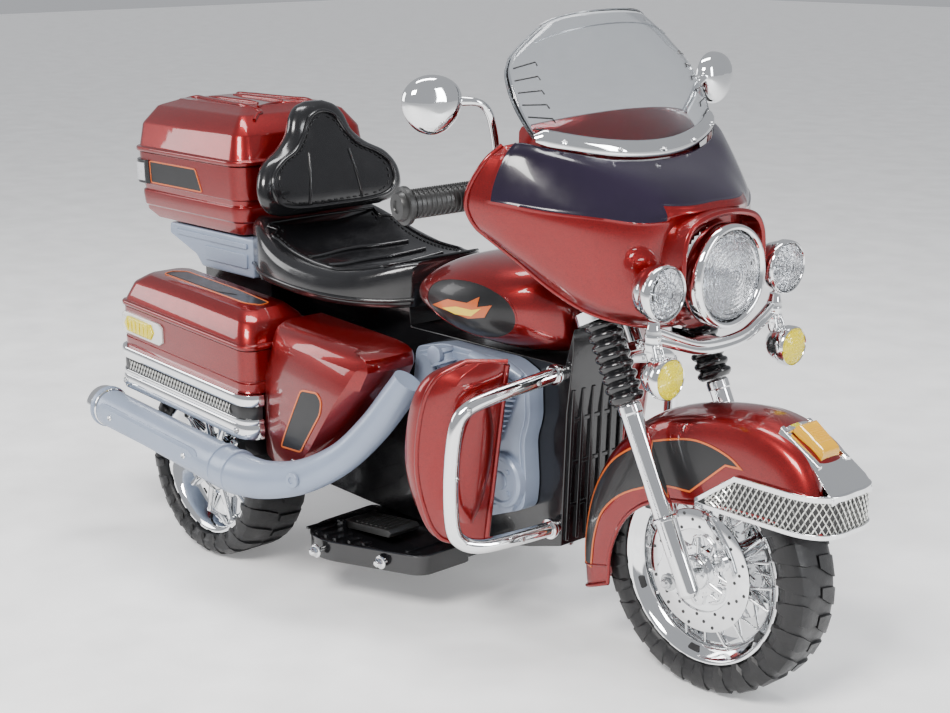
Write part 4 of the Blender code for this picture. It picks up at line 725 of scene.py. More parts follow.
def make_dash():
    def build(bm):
        rings = []
        for y in [-.1315 + .263 * i / 30 for i in range(31)]:
            drop = .012 * (y / .135) ** 2
            front = -.125 - .028 * (y / .135) ** 2
            ring = [(front - .001, .6225), (front - .006, .64), (front - .014, .6505), (front - .024, .661),
                    (front - .034, .6668), (front - .043, .666), (front - .0472, .66), (front - .048, .64),
                    (front - .043, .6), (front - .0375, .5605), (front - .0245, .5625)]
            rings.append([at(WB + x, y, z - (drop if z > .6 else 0)) for x, z in ring])
        add_loft(bm, rings)
    one("dash_cowl", build, RED, S, smooth=55, bevel=.0008, node="dash_panel")

    def faces(bm):
        for y, radius in ((-.062, .024), (0, .03), (.062, .024)):
            centre = at(WB - .125 - .0475, y, .632)
            add_rev(bm, [(radius, -.001), (radius + .003, .001), (radius + .002, .004), (radius - .001, .004),
                         (radius - .002, .001), (0, .001), (0, -.001)], centre, (-1, 0, -.15), 40)
    one("dash_gauge_rims", faces, CHROME, S)

    def dials(bm):
        for y, radius in ((-.062, .022), (0, .028), (.062, .022)):
            centre = at(WB - .125 - .0495, y, .6317)
            towards = centre + vec(-1, 0, -.15)
            add_rev(bm, [(0, 0), (radius, 0), (radius, .0008), (0, .0008)], centre, towards, 40)
            place = frame_along(centre, towards)
            for i in range(9):
                turn = radians(-120 + 30 * i)
                a = place @ vec(radius * .72 * sin(turn), radius * .72 * cos(turn), .001)
                b = place @ vec(radius * .9 * sin(turn), radius * .9 * cos(turn), .001)
                add_cyl(bm, a, b, .0006, sides=6, mat=1)
            add_cyl(bm, place @ vec(0, 0, .0012), place @ vec(-radius * .4, radius * .5, .0012), .0009,
                    .0004, sides=8, mat=2)
    one("dash_dials", dials, [SATIN, PALE, ORANGE], S)


def make_screen():
    steps = 48

    def build(bm):
        rows = []
        for j in range(41):
            height = .02 + .98 * j / 40
            tuck = 1 - .16 * max(0, (height - .85) / .15) ** 1.6
            rows.append([screen_point(tuck * (2 * i / steps - 1), height) for i in range(steps + 1)])
        add_loft(bm, rows, False, closed_ring=False)
    one("windscreen", build, CLEAR, S, smooth=60, wall=.0022, node="windshield")

    def slots(bm):
        for sign in (-1, 1):
            for i in range(6):
                height = .13 + .115 * i
                a, b = screen_point(sign * .955, height), screen_point(sign * .8, height - .012)
                c = screen_point(sign * .79, height - .045)
                lift = vec(.0008, 0, 0)
                add_tube(bm, [a + lift, b + lift, c + lift], .0009, 6, 0)
    one("windscreen_slots", slots, SATIN, S)

    def line(bm):
        path = [screen_point(.82 * (i / 12 - 1), .905 - .05 * (i / 12 - 1) ** 2) for i in range(25)]
        add_tube(bm, [p + vec(.0006, 0, 0) for p in path], .0007, 6, 0)
        rim = [screen_point(1 - .16 * max(0, (h - .85) / .15) ** 1.6, h) for h in
               [.02 + .98 * j / 40 for j in range(41)]]
        for sign in (-1, 1):
            add_tube(bm, [vec(p.x - .001, p.y * sign, p.z) for p in rim], .0014, 8, 0)
        top = [screen_point(.84 * (2 * i / 40 - 1), 1.0) for i in range(41)]
        add_tube(bm, [p + vec(-.001, 0, 0) for p in top], .0014, 8, 0)
    one("windscreen_edge", line, CLEAR_EDGE, S)

    def trim(bm):
        rings = []
        for i in range(-40, 41):
            share = i / 40
            foot = screen_foot(share) + vec(.001, 0, 0)
            out = vec(1, share * 1.0, 0).normalized()
            end = max(.35, 1 - max(0, abs(share) - .93) * 8)
            profile = [(0, -.004), (.0045, -.003), (.0062, .001), (.0062, .008), (.0045, .013),
                       (.0015, .0155), (-.001, .015)]
            rings.append([foot + out * x * end - vec(.004, 0, 0) * max(0, z) / .016
                          + vec(0, 0, z * end) for x, z in profile])
        add_loft(bm, rings)
    one("windscreen_trim", trim, CHROME, S, smooth=50, node="windshield_trim")

    def studs(bm):
        for share in (-.84, -.42, 0.0, .42, .84):
            foot = screen_foot(share) + vec(.0068, 0, .0045)
            add_screw(bm, foot, (1, share * .9, .1), .0028)
    one("windscreen_trim_studs", studs, CHROME, S)


# ---------------------------------------------------------------- lamps

def make_headlight():
    back = LAMP + vec(-.0115, 0, 0)
    front = back + vec(1, 0, 0)

    def bezel(bm):
        add_rev(bm, [(.05, .01), (.0505, .018), (.0525, .024), (.055, .0258), (.058, .0245),
                     (.0598, .019), (.06, .01), (.0592, .003), (.056, 0.0), (.05, 0.0)],
                back, front, 96, closed=True)
    one("headlight_ring", bezel, CHROME, S, smooth=60)

    def bowl(bm):
        add_rev(bm, [(.051, .008), (.047, .003), (.04, -.01), (.03, -.022), (.018, -.03),
                     (.01, -.033), (0.0, -.033), (0, -.036), (.02, -.034), (.042, -.016), (.052, .004)],
                back, front, 72)
        for turn in range(24):
            angle = 2 * pi * turn / 24
            direction = vec(0, cos(angle), sin(angle))
            add_tube(bm, [back + direction * .014 + vec(-.0305, 0, 0),
                          back + direction * .03 + vec(-.021, 0, 0),
                          back + direction * .046 + vec(.0015, 0, 0)], .0011, 6, 2)
    one("headlight_bowl", bowl, CHROME, S, smooth=60, node="headlight_bezel")

    def bulb(bm):
        add_rev(bm, [(0, 0), (.008, 0), (.008, .012), (.0075, .018), (.005, .022), (0, .0235)],
                back + vec(-.033, 0, 0), front, 32)
        add_rev(bm, [(.0085, 0), (.0125, 0), (.0125, .006), (.0085, .008)],
                back + vec(-.032, 0, 0), front, 32, closed=True)
    one("headlight_bulb", bulb, LENS, S)

    def lens(bm):
        profile = [(0, .029)]
        for i in range(1, 50):
            radius = .0495 * i / 49
            rib = .00055 * cos(2 * pi * radius / .0055)
            profile.append((radius, .0285 - .0065 * (radius / .0495) ** 2.2 + rib))
        profile += [(.0495, .0165), (.045, .0175), (.03, .0215), (.015, .024), (0, .0248)]
        add_rev(bm, profile, back, front, 96)
        for i in range(-4, 5):
            y = .0088 * i
            tall = sqrt(max(0.0, .044 ** 2 - y ** 2))
            if tall > .008:
                depth = .019 - 3.0 * y * y
                add_tube(bm, [back + vec(depth - .003, y, -tall), back + vec(depth, y, 0),
                              back + vec(depth - .003, y, tall)], .0012, 8, 4)
    one("headlight_glass", lens, LENS, S, smooth=50, node="headlight_lens")


def small_lamp(centre, radius, depth, lobes):
    """Lamp bowl with a rim, a faceted reflector and a ribbed lens; the centre is on its front face."""
    back = centre + vec(-depth, 0, 0)

    def bowl(bm):
        add_rev(bm, [(0, 0), (radius * .35, .0005), (radius * .62, .005), (radius * .82, .012),
                     (radius * .9, depth * .52), (radius * .93, depth - .013), (radius, depth - .011),
                     (radius, depth - .004), (radius * .985, depth - .001), (radius * .93, depth + .0005),
                     (radius * .885, depth - .001), (radius * .87, depth - .005), (radius * .7, depth - .012),
                     (radius * .35, depth - .019), (0, depth - .021)], back, centre, 56)
        for i in range(lobes):
            turn = 2 * pi * i / lobes
            out = vec(0, cos(turn), sin(turn))
            add_rev(bm, [(radius * .17, 0), (radius * .15, .004), (radius * .07, .0065), (0, .007)],
                    centre + out * radius * .5 + vec(-.015, 0, 0), centre + out * radius * .5, 16)

    def lens(bm):
        profile = [(0, .0032)]
        for i in range(1, 24):
            share = i / 23
            profile.append((radius * .88 * share, .0032 - .0045 * share ** 2 + .00045 * cos(share * 2 * pi * 5)))
        profile += [(radius * .88, -.0045), (radius * .5, -.003), (0, -.0022)]
        add_rev(bm, profile, centre, (1, 0, 0), 56)
        for i in range(lobes * 2):
            turn = 2 * pi * (i + .5) / (lobes * 2)
            out = vec(0, cos(turn), sin(turn))
            add_tube(bm, [centre + out * radius * .18 + vec(.0022, 0, 0),
                          centre + out * radius * .8 + vec(-.0002, 0, 0)], .0011, 6, 0)
    return bowl, lens


def make_small_lamps():
    for name, place, radius, depth, mat, lobes in (
            ("passing_lamp", at(WB + .0065, -.106, .489), .032, .04, LENS, 8),
            ("amber_lamp", at(WB + .0165, -.109, .396), .024, .036, YELLOW_LENS, 6)):
        bowl, lens = small_lamp(place, radius, depth, lobes)
        both(name + "_bowl", bowl, CHROME, S, node=name, smooth=50)
        both(name + "_glass", lens, mat, S, smooth=45)


def make_lamp_bar():
    x = WB - .014

    def bar(bm):
        for lift in (0.0, .0105):
            half = [at(x, .112, .4345 + lift), at(x + .002, .098, .432 + lift),
                    at(x + .006, .075, .4245 + lift * .8),
                    at(x + .01, .04, .4135 + lift * .7), at(x + .011, 0, .4105 + lift * .7)]
            path = [vec(p.x, -p.y, p.z) for p in half] + list(reversed(half[:-1]))
            add_tube(bm, path, .0052, 14, 6)
        add_plate(bm, [(WB - .094, .411), (x + .004, .411), (x + .006, .4175), (WB - .094, .4175)], -.0135, .0135,
                  matrix=Matrix.Translation((REAR_X, 0, 0)))
    one("lamp_bar_tubes", bar, CHROME, S, bevel=.0006, node="lamp_bar")

    def clamp(bm):
        y = -.106
        foot = at(x, y, .4205)
        top = at(x + .002, y, .4562)
        add_rev(bm, [(0, 0), (.0095, 0), (.0098, .002), (.0088, .0045), (.0098, .007), (.0098, .011),
                     (.0088, .0135),
                     (.0098, .016), (.0098, .02), (.0085, .0225), (.0092, .025), (.0075, .0285), (.0065, .0355),
                     (0, .0355)], foot, top, 28)
        hang = [at(x, y, .424), at(x + .002, y - .0005, .414), at(x + .009, y - .0015, .4075),
                at(x + .014, y - .003, .4035)]
        add_tube(bm, hang, .007, 14, 5, [1.1, .95, .85, 1.0])
        for sign in (-1, 1):
            add_tube(bm, [at(x + .006, y + sign * .0055, .431), at(x + .011, y + sign * .0062, .418),
                          at(x + .012, y + sign * .0085, .408)], .0022, 8, 4)
        add_screw(bm, at(x + .0095, y, .4285), (1, 0, 0), .0035)
    both("lamp_clamp", clamp, CHROME, S, smooth=45)


# ---------------------------------------------------------------- handlebar, grips and mirrors

AXIS = vec(-.43837, 0, .89879)
AXIS_FOOT = at(WB - .016, 0, .15)
BAR = AXIS_FOOT + AXIS * .472
STEER = Matrix.Translation(AXIS_FOOT) @ Matrix.Rotation(-radians(26.0), 4, "Y")


def make_handlebar():
    left = [vec(BAR.x, 0, BAR.z), vec(BAR.x + .004, .075, BAR.z + .002),
            vec(BAR.x + .001, .158, BAR.z + .004), vec(BAR.x - .022, .268, BAR.z - .001)]

    def bar(bm):
        path = whole(left)
        add_tube(bm, path, .011, 24, 5)
        for y in (-.052, .052):
            add_rev(bm, [(.011, 0), (.015, 0), (.0155, .001), (.0155, .009), (.015, .01), (.011, .01)],
                    vec(BAR.x + .0036, y - .005, BAR.z + .0015), vec(BAR.x + .0036, y + .005, BAR.z + .0015), 28)
        for sign in (-1, 1):
            foot = vec(BAR.x + .003, sign * .146, BAR.z - .006)
            add_rev(bm, [(0, 0), (.0092, 0), (.01, .002), (.0088, .01), (.0088, .0262), (.0078, .0278), (0, .0278)],
                    foot, (0, 0, 1), 28)
        pod = vec(BAR.x + .003, -.12, BAR.z - .01)
        add_rev(bm, [(0, 0), (.0095, 0), (.0118, .004), (.0118, .0255), (.0108, .0278), (.0068, .0278),
                     (.0068, .015),
                     (0, .015)], pod, (0, 0, 1), 32)
    one("handlebar_tube", bar, BLACK, S, smooth=45, node="handlebar")

    def clamp(bm):
        add_box(bm, (-.0205, -.0265, .4525), (.0205, .0265, .47), STEER)
        add_box(bm, (-.0205, -.0265, .471), (.0205, .0265, .4872), STEER)
        for x in (-.014, .014):
            for y in (-.018, .018):
                add_rev(bm, [(0, 0), (.0045, 0), (.0045, .004), (.0035, .0048), (.0022, .0048), (.0022, .003),
                             (0, .003)],
                        STEER @ vec(x, y, .487), STEER @ vec(x, y, .5), 12)
    one("handlebar_clamp", clamp, SATIN, S, bevel=.0025)

    def grip(bm):
        start = vec(BAR.x + .001, -.158, BAR.z + .004)
        end = vec(BAR.x - .022, -.268, BAR.z - .001)
        length = (end - start).length
        profile = [(.0117, .004), (.015, .0045), (.0168, .007), (.0168, .012), (.016, .0135)]
        for i in range(15):
            z = .0155 + i * .0062
            profile += [(.0164, z), (.0164, z + .003), (.0153, z + .0038), (.0153, z + .0054)]
        profile += [(.0165, length - .009), (.0218, length - .0078), (.0222, length - .006), (.0218, length - .002),
                    (.0172, length - .001), (.0165, length + .003), (.015, length + .0055), (.0075, length + .0058),
                    (.0065, length + .004), (0, length + .004), (0, length + .001), (.0117, length + .001)]
        add_rev(bm, profile, start, end, 36, closed=True)
        place = frame_along(start, end)
        for k in range(5):
            turn = radians(60 + 15 * k)
            for i in range(30):
                z = .018 + i * .003
                base = place @ vec(.0162 * cos(turn), .0162 * sin(turn), z)
                top = place @ vec(.0176 * cos(turn), .0176 * sin(turn), z)
                add_cyl(bm, base, top, .0012, .0006, 5)
    both("grip_sleeve", grip, RUBBER, S, smooth=40, node="grip")

    def horn(bm):
        foot = vec(BAR.x + .003, -.12, BAR.z + .0048)
        add_rev(bm, [(0, 0), (.0058, 0), (.0058, .0155), (.0052, .0178), (.003, .019), (0, .0193)], foot,
                (0, 0, 1), 28)
        add_rev(bm, [(.003, .0186), (.0036, .0194), (.0042, .0184)], foot, (0, 0, 1), 28, closed=True)
    one("horn_cap", horn, RED, "horn_button", node="horn_button")


def make_mirrors():
    x = BAR.x + .003
    top = BAR.z + .022
    y = -.146

    def stem(bm):
        add_rev(bm, [(0, .0006), (.0075, .0006), (.008, .002), (.0072, .006), (.006, .0095), (0, .01)],
                vec(x, y, top), vec(x, y, top + 1), 24)
        add_tube(bm, [vec(x, y, top + .004), vec(x + .009, y - .009, top + .034),
                      vec(x + .018, y - .025, top + .069), vec(x + .0175, y - .034, top + .083),
                      vec(x + .015, y - .046, top + .0895), vec(x + .004, y - .064, top + .091)],
                 .0046, 16, 8, [1.15, 1, 1, 1, 1, 1.35])

    centre = vec(x - .006, y - .092, top + .088)
    place = Matrix.Translation(centre) @ Matrix.Rotation(radians(-12), 4, "Z")

    def head(bm):
        rows = []
        for i in range(13):
            polar = (i / 12) * pi / 2
            ring = []
            for k in range(48):
                turn = 2 * pi * k / 48
                yy, zz = cos(turn), sin(turn)
                ring.append(place @ vec(.02 * cos(polar) ** .85, yy * (.0358 + .005 * zz) * sin(polar) ** .8,
                                            zz * .0328 * sin(polar) ** .8))
            rows.append(ring)
        rim = [[place @ vec(d, cos(t) * (.0358 + .005 * sin(t)) * s, sin(t) * .0328 * s)
                for t in [2 * pi * k / 48 for k in range(48)]]
               for d, s in ((-.0022, 1.0), (-.0036, .985), (-.0036, .93), (-.0018, .925))]
        made = add_loft(bm, rows[1:] + rim, False)
        bm.faces.new(made[0])
        bm.faces.new(made[-1])

    def glass(bm):
        ring = [[place @ vec(d, cos(t) * (.0358 + .005 * sin(t)) * .91, sin(t) * .0328 * .91)
                 for t in [2 * pi * k / 48 for k in range(48)]] for d in (-.003, -.0016)]
        add_loft(bm, ring)
    both("mirror_shell", head, CHROME, "mirror_right", "mirror_left", smooth=55, node="mirror")
    both("mirror_stem", stem, CHROME, "mirror_right", "mirror_left", smooth=50)
    both("mirror_glass", glass, MIRROR_GLASS, "mirror_right", "mirror_left")


# ---------------------------------------------------------------- fork, fender and front wheel

def make_fork():
    y = -.078
    fx = .0345

    def leg(bm):
        a, b = STEER @ vec(fx, y, -.0305), STEER @ vec(fx, y, .2)
        add_rev(bm, [(0, 0), (.008, 0), (.012, .004), (.0126, .008), (.0126, .217), (.0138, .2185), (.0138, .2275),
                     (.0126, .229), (.0126, .2305), (0, .2305)], a, b, 40)
        for sign in (-1, 1):
            add_box(bm, (fx - .0035, y + sign * .0118 - .0016, .02), (fx + .0035, y + sign * .0118 + .0016, .19),
                    STEER)
        add_rev(bm, [(0, 0), (.0155, 0), (.0155, .004), (.013, .006), (0, .006)],
                STEER @ vec(fx, y, .06), STEER @ vec(fx, y, .2), 32)
        axle = STEER.inverted() @ at(WB, 0, .15)
        outline = [(fx + .002, .052), (axle.x + .004, .024), (axle.x - .0125, .011), (axle.x - .0142, -.011),
                   (axle.x - .002, -.0192), (fx + .002, -.024)]
        add_plate(bm, round_outline(outline, .008), y - .0062, y + .0062, matrix=STEER)
    both("fork_tube", leg, CHROME, S, smooth=50, bevel=.0008, node="fork_leg")

    def nut(bm):
        centre = at(WB, y - .0062, .15)
        out = centre + vec(0, -1, 0)
        add_rev(bm, [(0, 0), (.0105, 0), (.0105, .0012), (.0095, .0018), (0, .0018)], centre, out, 32)
        add_rev(bm, [(0, .0015), (.007, .0015), (.007, .0062), (.006, .0068), (0, .0068)], centre, out, 6)
        add_rev(bm, [(0, .006), (.0052, .006), (.005, .008), (.0036, .0098), (0, .0104)], centre, out, 20)
        add_rev(bm, [(.003, .001), (.003, -.012), (0, -.012), (0, .001)], centre, out, 16)
    nuts = both("front_axle_nut", nut, STEEL, S)
    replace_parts(nuts[0], "front_axle")

    def rod_piece(bm):
        add_cyl(bm, at(WB, -.072, .15), at(WB, .072, .15), .0049, sides=24)
    one("front_axle_rod", rod_piece, STEEL, S)

    def boot(bm):
        folds = 8
        pitch = .0994 / folds
        profile = [(.0094, .099), (.015, .0992)]
        for fold in range(folds):
            top = .099 - fold * pitch
            for share, radius in ((.05, .0172), (.16, .0198), (.3, .0209), (.42, .0211), (.56, .0208), (.72, .0196),
                                  (.86, .0176), (.95, .0165)):
                profile.append((radius, top - share * pitch))
        profile += [(.015, .0002), (.0094, .0002)]
        add_rev(bm, profile, STEER @ vec(fx, y, .2006), STEER @ vec(fx, y, .4), 44, closed=True)
    both("bellows_boot", boot, BLACK, S, smooth=70, node="bellows")

    def column(bm):
        outline = [(-.018, -.03), (.008, -.097), (.052, -.097), (.052, .097), (.008, .097), (-.018, .03)]
        add_plate(bm, round_outline(outline, .014), .3006, .3146, "XY", matrix=STEER)
        add_plate(bm, round_outline([(-.011, -.056), (.039, -.056), (.039, .056), (-.011, .056)], .004), .2562,
                  .2678, "XY", matrix=STEER)
        add_cyl(bm, STEER @ vec(0, 0, .256), STEER @ vec(0, 0, .452), .0099, sides=36)
        for y0 in (-.035, .035):
            add_rev(bm, [(0, 0), (.0055, 0), (.0055, .003), (.004, .0036), (.0026, .0036), (.0026, .002),
                         (0, .002)],
                    STEER @ vec(.0385, y0, .262), STEER @ vec(.1, y0, .262), 20)
    one("fork_yoke", column, CHROME, S, smooth=45, bevel=.0015, node="steering_column")


FENDER = [(28, .204, .042, .19), (38, .221, .0505, .155), (52, .225, .0505, .122), (70, .213, .0505, .098),
          (92, .194, .0505, .086), (115, .188, .0505, .088), (138, .184, .0505, .098), (160, .181, .0505, .11),
          (182, .184, .0505, .122), (201, .192, .0505, .134)]


def make_fender():
    rows = []
    for degrees, crown, half, skirt in FENDER:
        turn = radians(degrees)

        def spot(radius, y):
            return at(WB + radius * cos(turn), y, .15 + radius * sin(turn))
        side = [spot(crown, 0), spot(crown - .003, half * .45), spot(crown - .014, half * .86),
                spot((crown + skirt) / 2, half), spot(skirt, half)]
        rows.append(whole(side))
    grid = dense(rows, 8, 8)

    def build(bm):
        add_loft(bm, grid, False, closed_ring=False)
    body = one("fender_shell", build, RED, S, smooth=65, wall=.003, node="front_fender")

    def hem(bm):
        for edge in ([row[0] for row in grid], [row[-1] for row in grid], grid[0], grid[-1]):
            add_tube(bm, edge[::2] + [edge[-1]], .0025, 10, 2)
        add_tube(bm, [p + vec(0, 0, .0004) for p in grid[-5]][::2], .0016, 8, 2)
    one("fender_hem", hem, RED, S)
    tree = tree_of(body)

    def panel(bm):
        def run(points):
            return [(p.x + WB + REAR_X, p.y) for p in catmull([(x, z, 0) for x, z in points], 4)]
        outer = run([(.074, .2935), (.0535, .305), (.0196, .3124), (-.0144, .3105), (-.0695, .294), (-.105, .274),
                     (-.129, .254), (-.15, .224), (-.161, .196), (-.167, .156), (-.167, .117)])
        inner = run([(-.152, .115), (-.147, .158), (-.133, .1933), (-.099, .2235), (-.044, .2457),
                     (0.0, .2495)])
        bordered(bm, outer + inner + [(WB + REAR_X + .05, .2925)], (0, -.2, 0), SIDE, tree, .0022, .005)
    both("fender_side_decal", panel, [DECAL, ORANGE], S)


def band_path(offset):
    """The bumper's line in plan, from its right end round to its left end."""
    half = .0511
    outline = [(WB + .01, half), (WB + .06, half), (WB + .11, half), (WB + .15, half - .001),
               (WB + .174, half - .012),
               (WB + .182, half - .032), (WB + .182, 0)]
    left = [at(x, y, 0) for x, y in outline]
    line = [vec(p.x, -p.y, 0) for p in left] + list(reversed(left[:-1]))
    path = catmull(line, 8)
    out = []
    for i, p in enumerate(path):
        along = (path[min(i + 1, len(path) - 1)] - path[max(i - 1, 0)]).normalized()
        out.append(p + vec(along.y, -along.x, 0) * offset)
    return out


def make_bumper():
    lip, edge, top, taper = .2372, .2432, .282, 9

    def climb(index, count):
        """Height of the upper band: it rises from the lower band over the bumper's tapered ends."""
        share = min(index, count - 1 - index) / taper
        return edge + (top - edge) * min(1.0, share)

    def strip(bm, near, far, span):
        inner, outer = band_path(near), band_path(far)
        rings = []
        for i, (a, b) in enumerate(zip(inner, outer)):
            low, high = span(climb(i, len(inner)))
            rings.append([vec(a.x, a.y, low), vec(b.x, b.y, low), vec(b.x, b.y, high),
                          vec(a.x, a.y, high)])
        add_loft(bm, rings)

    def band(bm):
        strip(bm, 0.0, .0048, lambda z: (lip, edge))
        strip(bm, 0.0, .005, lambda z: (z - .003, z + .004))
    one("bumper_band", band, CHROME, S, smooth=40, bevel=.001, node="fender_bumper")
    one("bumper_backing", lambda bm: strip(bm, 0.0, .0016, lambda z: (lip + .003, z)), SATIN, S, smooth=40)

    def mesh(bm):
        path = band_path(.0022)
        run = [0.0]
        for a, b in zip(path, path[1:]):
            run.append(run[-1] + (b - a).length)
        total = run[-1]

        def spot(distance, share):
            distance = min(max(distance, 0), total)
            k = next(i for i in range(1, len(run)) if run[i] >= distance - 1e-9)
            part = (distance - run[k - 1]) / (run[k] - run[k - 1])
            p = path[k - 1].lerp(path[k], part)
            return vec(p.x, p.y, edge - .001 + (climb(k - 1 + part, len(run)) - edge) * share)
        start, pitch, rows = .014, .0075, 3
        for i in range(int((total - 2 * start) / pitch)):
            for row in range(rows):
                for flip in (0, 1):
                    ends = [spot(start + (i + k) * pitch, (row + abs(flip - k)) / rows) for k in (0, 1)]
                    add_tube(bm, ends, .0009, 6, 0)
    one("bumper_mesh", mesh, SILVER, S)

    def shelf(bm):
        def strip(rows):
            rings = []
            for y in [-1 + .1 * i for i in range(21)]:
                rings.append([at(WB + x, y * wide, z - .0035 * y * y) for x, z, wide in rows])
            add_loft(bm, rings)
        strip([(.104, .3405, .027), (.104, .3445, .027), (.114, .3445, .027), (.114, .337, .027)])
        strip([(.148, .311, .03), (.148, .3175, .03), (.158, .311, .034), (.172, .2985, .038), (.18, .2905, .038),
               (.1835, .286, .036), (.1835, .279, .036), (.176, .279, .036), (.168, .29, .036)])
        for sign in (-1, 1):
            rings = []
            for k in range(9):
                share = k / 8
                x = .104 + .054 * share
                z = .3425 - .033 * share
                y = sign * (.0205 + .0015 * share)
                rings.append([at(WB + x, y, z - .006), at(WB + x, y, z + .0035),
                              at(WB + x, y + sign * .006, z + .003),
                              at(WB + x, y + sign * .01, z - .005), at(WB + x, y + sign * .0095, z - .012)])
            add_loft(bm, rings)
    one("bumper_shelf", shelf, CHROME, S, smooth=50, bevel=.001)

    def lamp(bm):
        low = [at(WB + .112, -.019, .3386), at(WB + .112, .019, .3386), at(WB + .152, .017, .3111),
               at(WB + .152, -.017, .3111)]
        centre = sum(low, Vector()) / 4
        rings = [[centre + (p - centre) * share + vec(.35, 0, .94) * lift for p in low]
                 for lift, share in ((.002, .93), (.009, .91), (.0128, .82), (.015, .66))]
        add_loft(bm, rings)
        for i in range(6):
            share = .2 + .12 * i
            a = (low[0].lerp(low[3], share) - centre) * .62 + centre + vec(.35, 0, .94) * .0143
            b = (low[1].lerp(low[2], share) - centre) * .62 + centre + vec(.35, 0, .94) * .0143
            add_tube(bm, [a, b], .0013, 8, 0)
    one("fender_lamp_glass", lamp, AMBER, S, smooth=40, bevel=.0015, node="fender_lamp")


def wheel_tyre(name, node, body, centre, radius, width, rim_radius, blocks):
    half = width / 2
    shoulder = radius * .07

    def build(bm):
        profile = [(rim_radius + .0008, half * .8), (rim_radius + .003, half * .9),
                   (rim_radius + .007, half * .935),
                   (rim_radius + (radius - rim_radius) * .35, half * .99), (radius - 2 * shoulder, half),
                   (radius - shoulder * 1.2, half * .985), (radius - shoulder * .6, half * .92),
                   (radius - shoulder * .15, half * .8), (radius, half * .62), (radius + .0005, half * .2)]
        profile = profile + [(r, -h) for r, h in reversed(profile)]
        add_rev(bm, profile, centre, (0, 1, 0), 128, closed=True)
    made = one(name + "_carcass", build, TYRE, body, smooth=60, node=node)

    def tread(bm):
        for i in range(blocks):
            for sign in (-1, 1):
                turn = 2 * pi * (i + (0 if sign > 0 else .5)) / blocks
                span = 2 * pi / blocks * (.4 if i % 2 else .34)
                ends = ((.06, radius + .0036, .55), (.34, radius + .0036, .8), (.62, radius + .0034, 1.0),
                        (.8, radius + .0012, 1.0), (.925, radius - shoulder * .55, .92),
                        (1.0, radius - 1.7 * shoulder, .78), (1.0, radius - 2.6 * shoulder, .4))
                rings = []
                for share, height, wide in ends:
                    ring = []
                    for dt, dr in ((-1, -.006), (1, -.006), (1, 0.0), (-1, 0.0)):
                        taper = .86 if dr == 0 else 1.0
                        angle = turn + dt * span * wide * taper + sign * (.5 - share) * .1
                        r = height + dr
                        wall = half * share + (.0012 if share > .9 and dr == 0 else -.002 if share > .9 else 0)
                        ring.append(centre + vec(r * cos(angle), sign * wall, r * sin(angle)))
                    rings.append(ring)
                add_loft(bm, rings)
    one(name + "_tread", tread, TYRE, body, smooth=30)
    return made


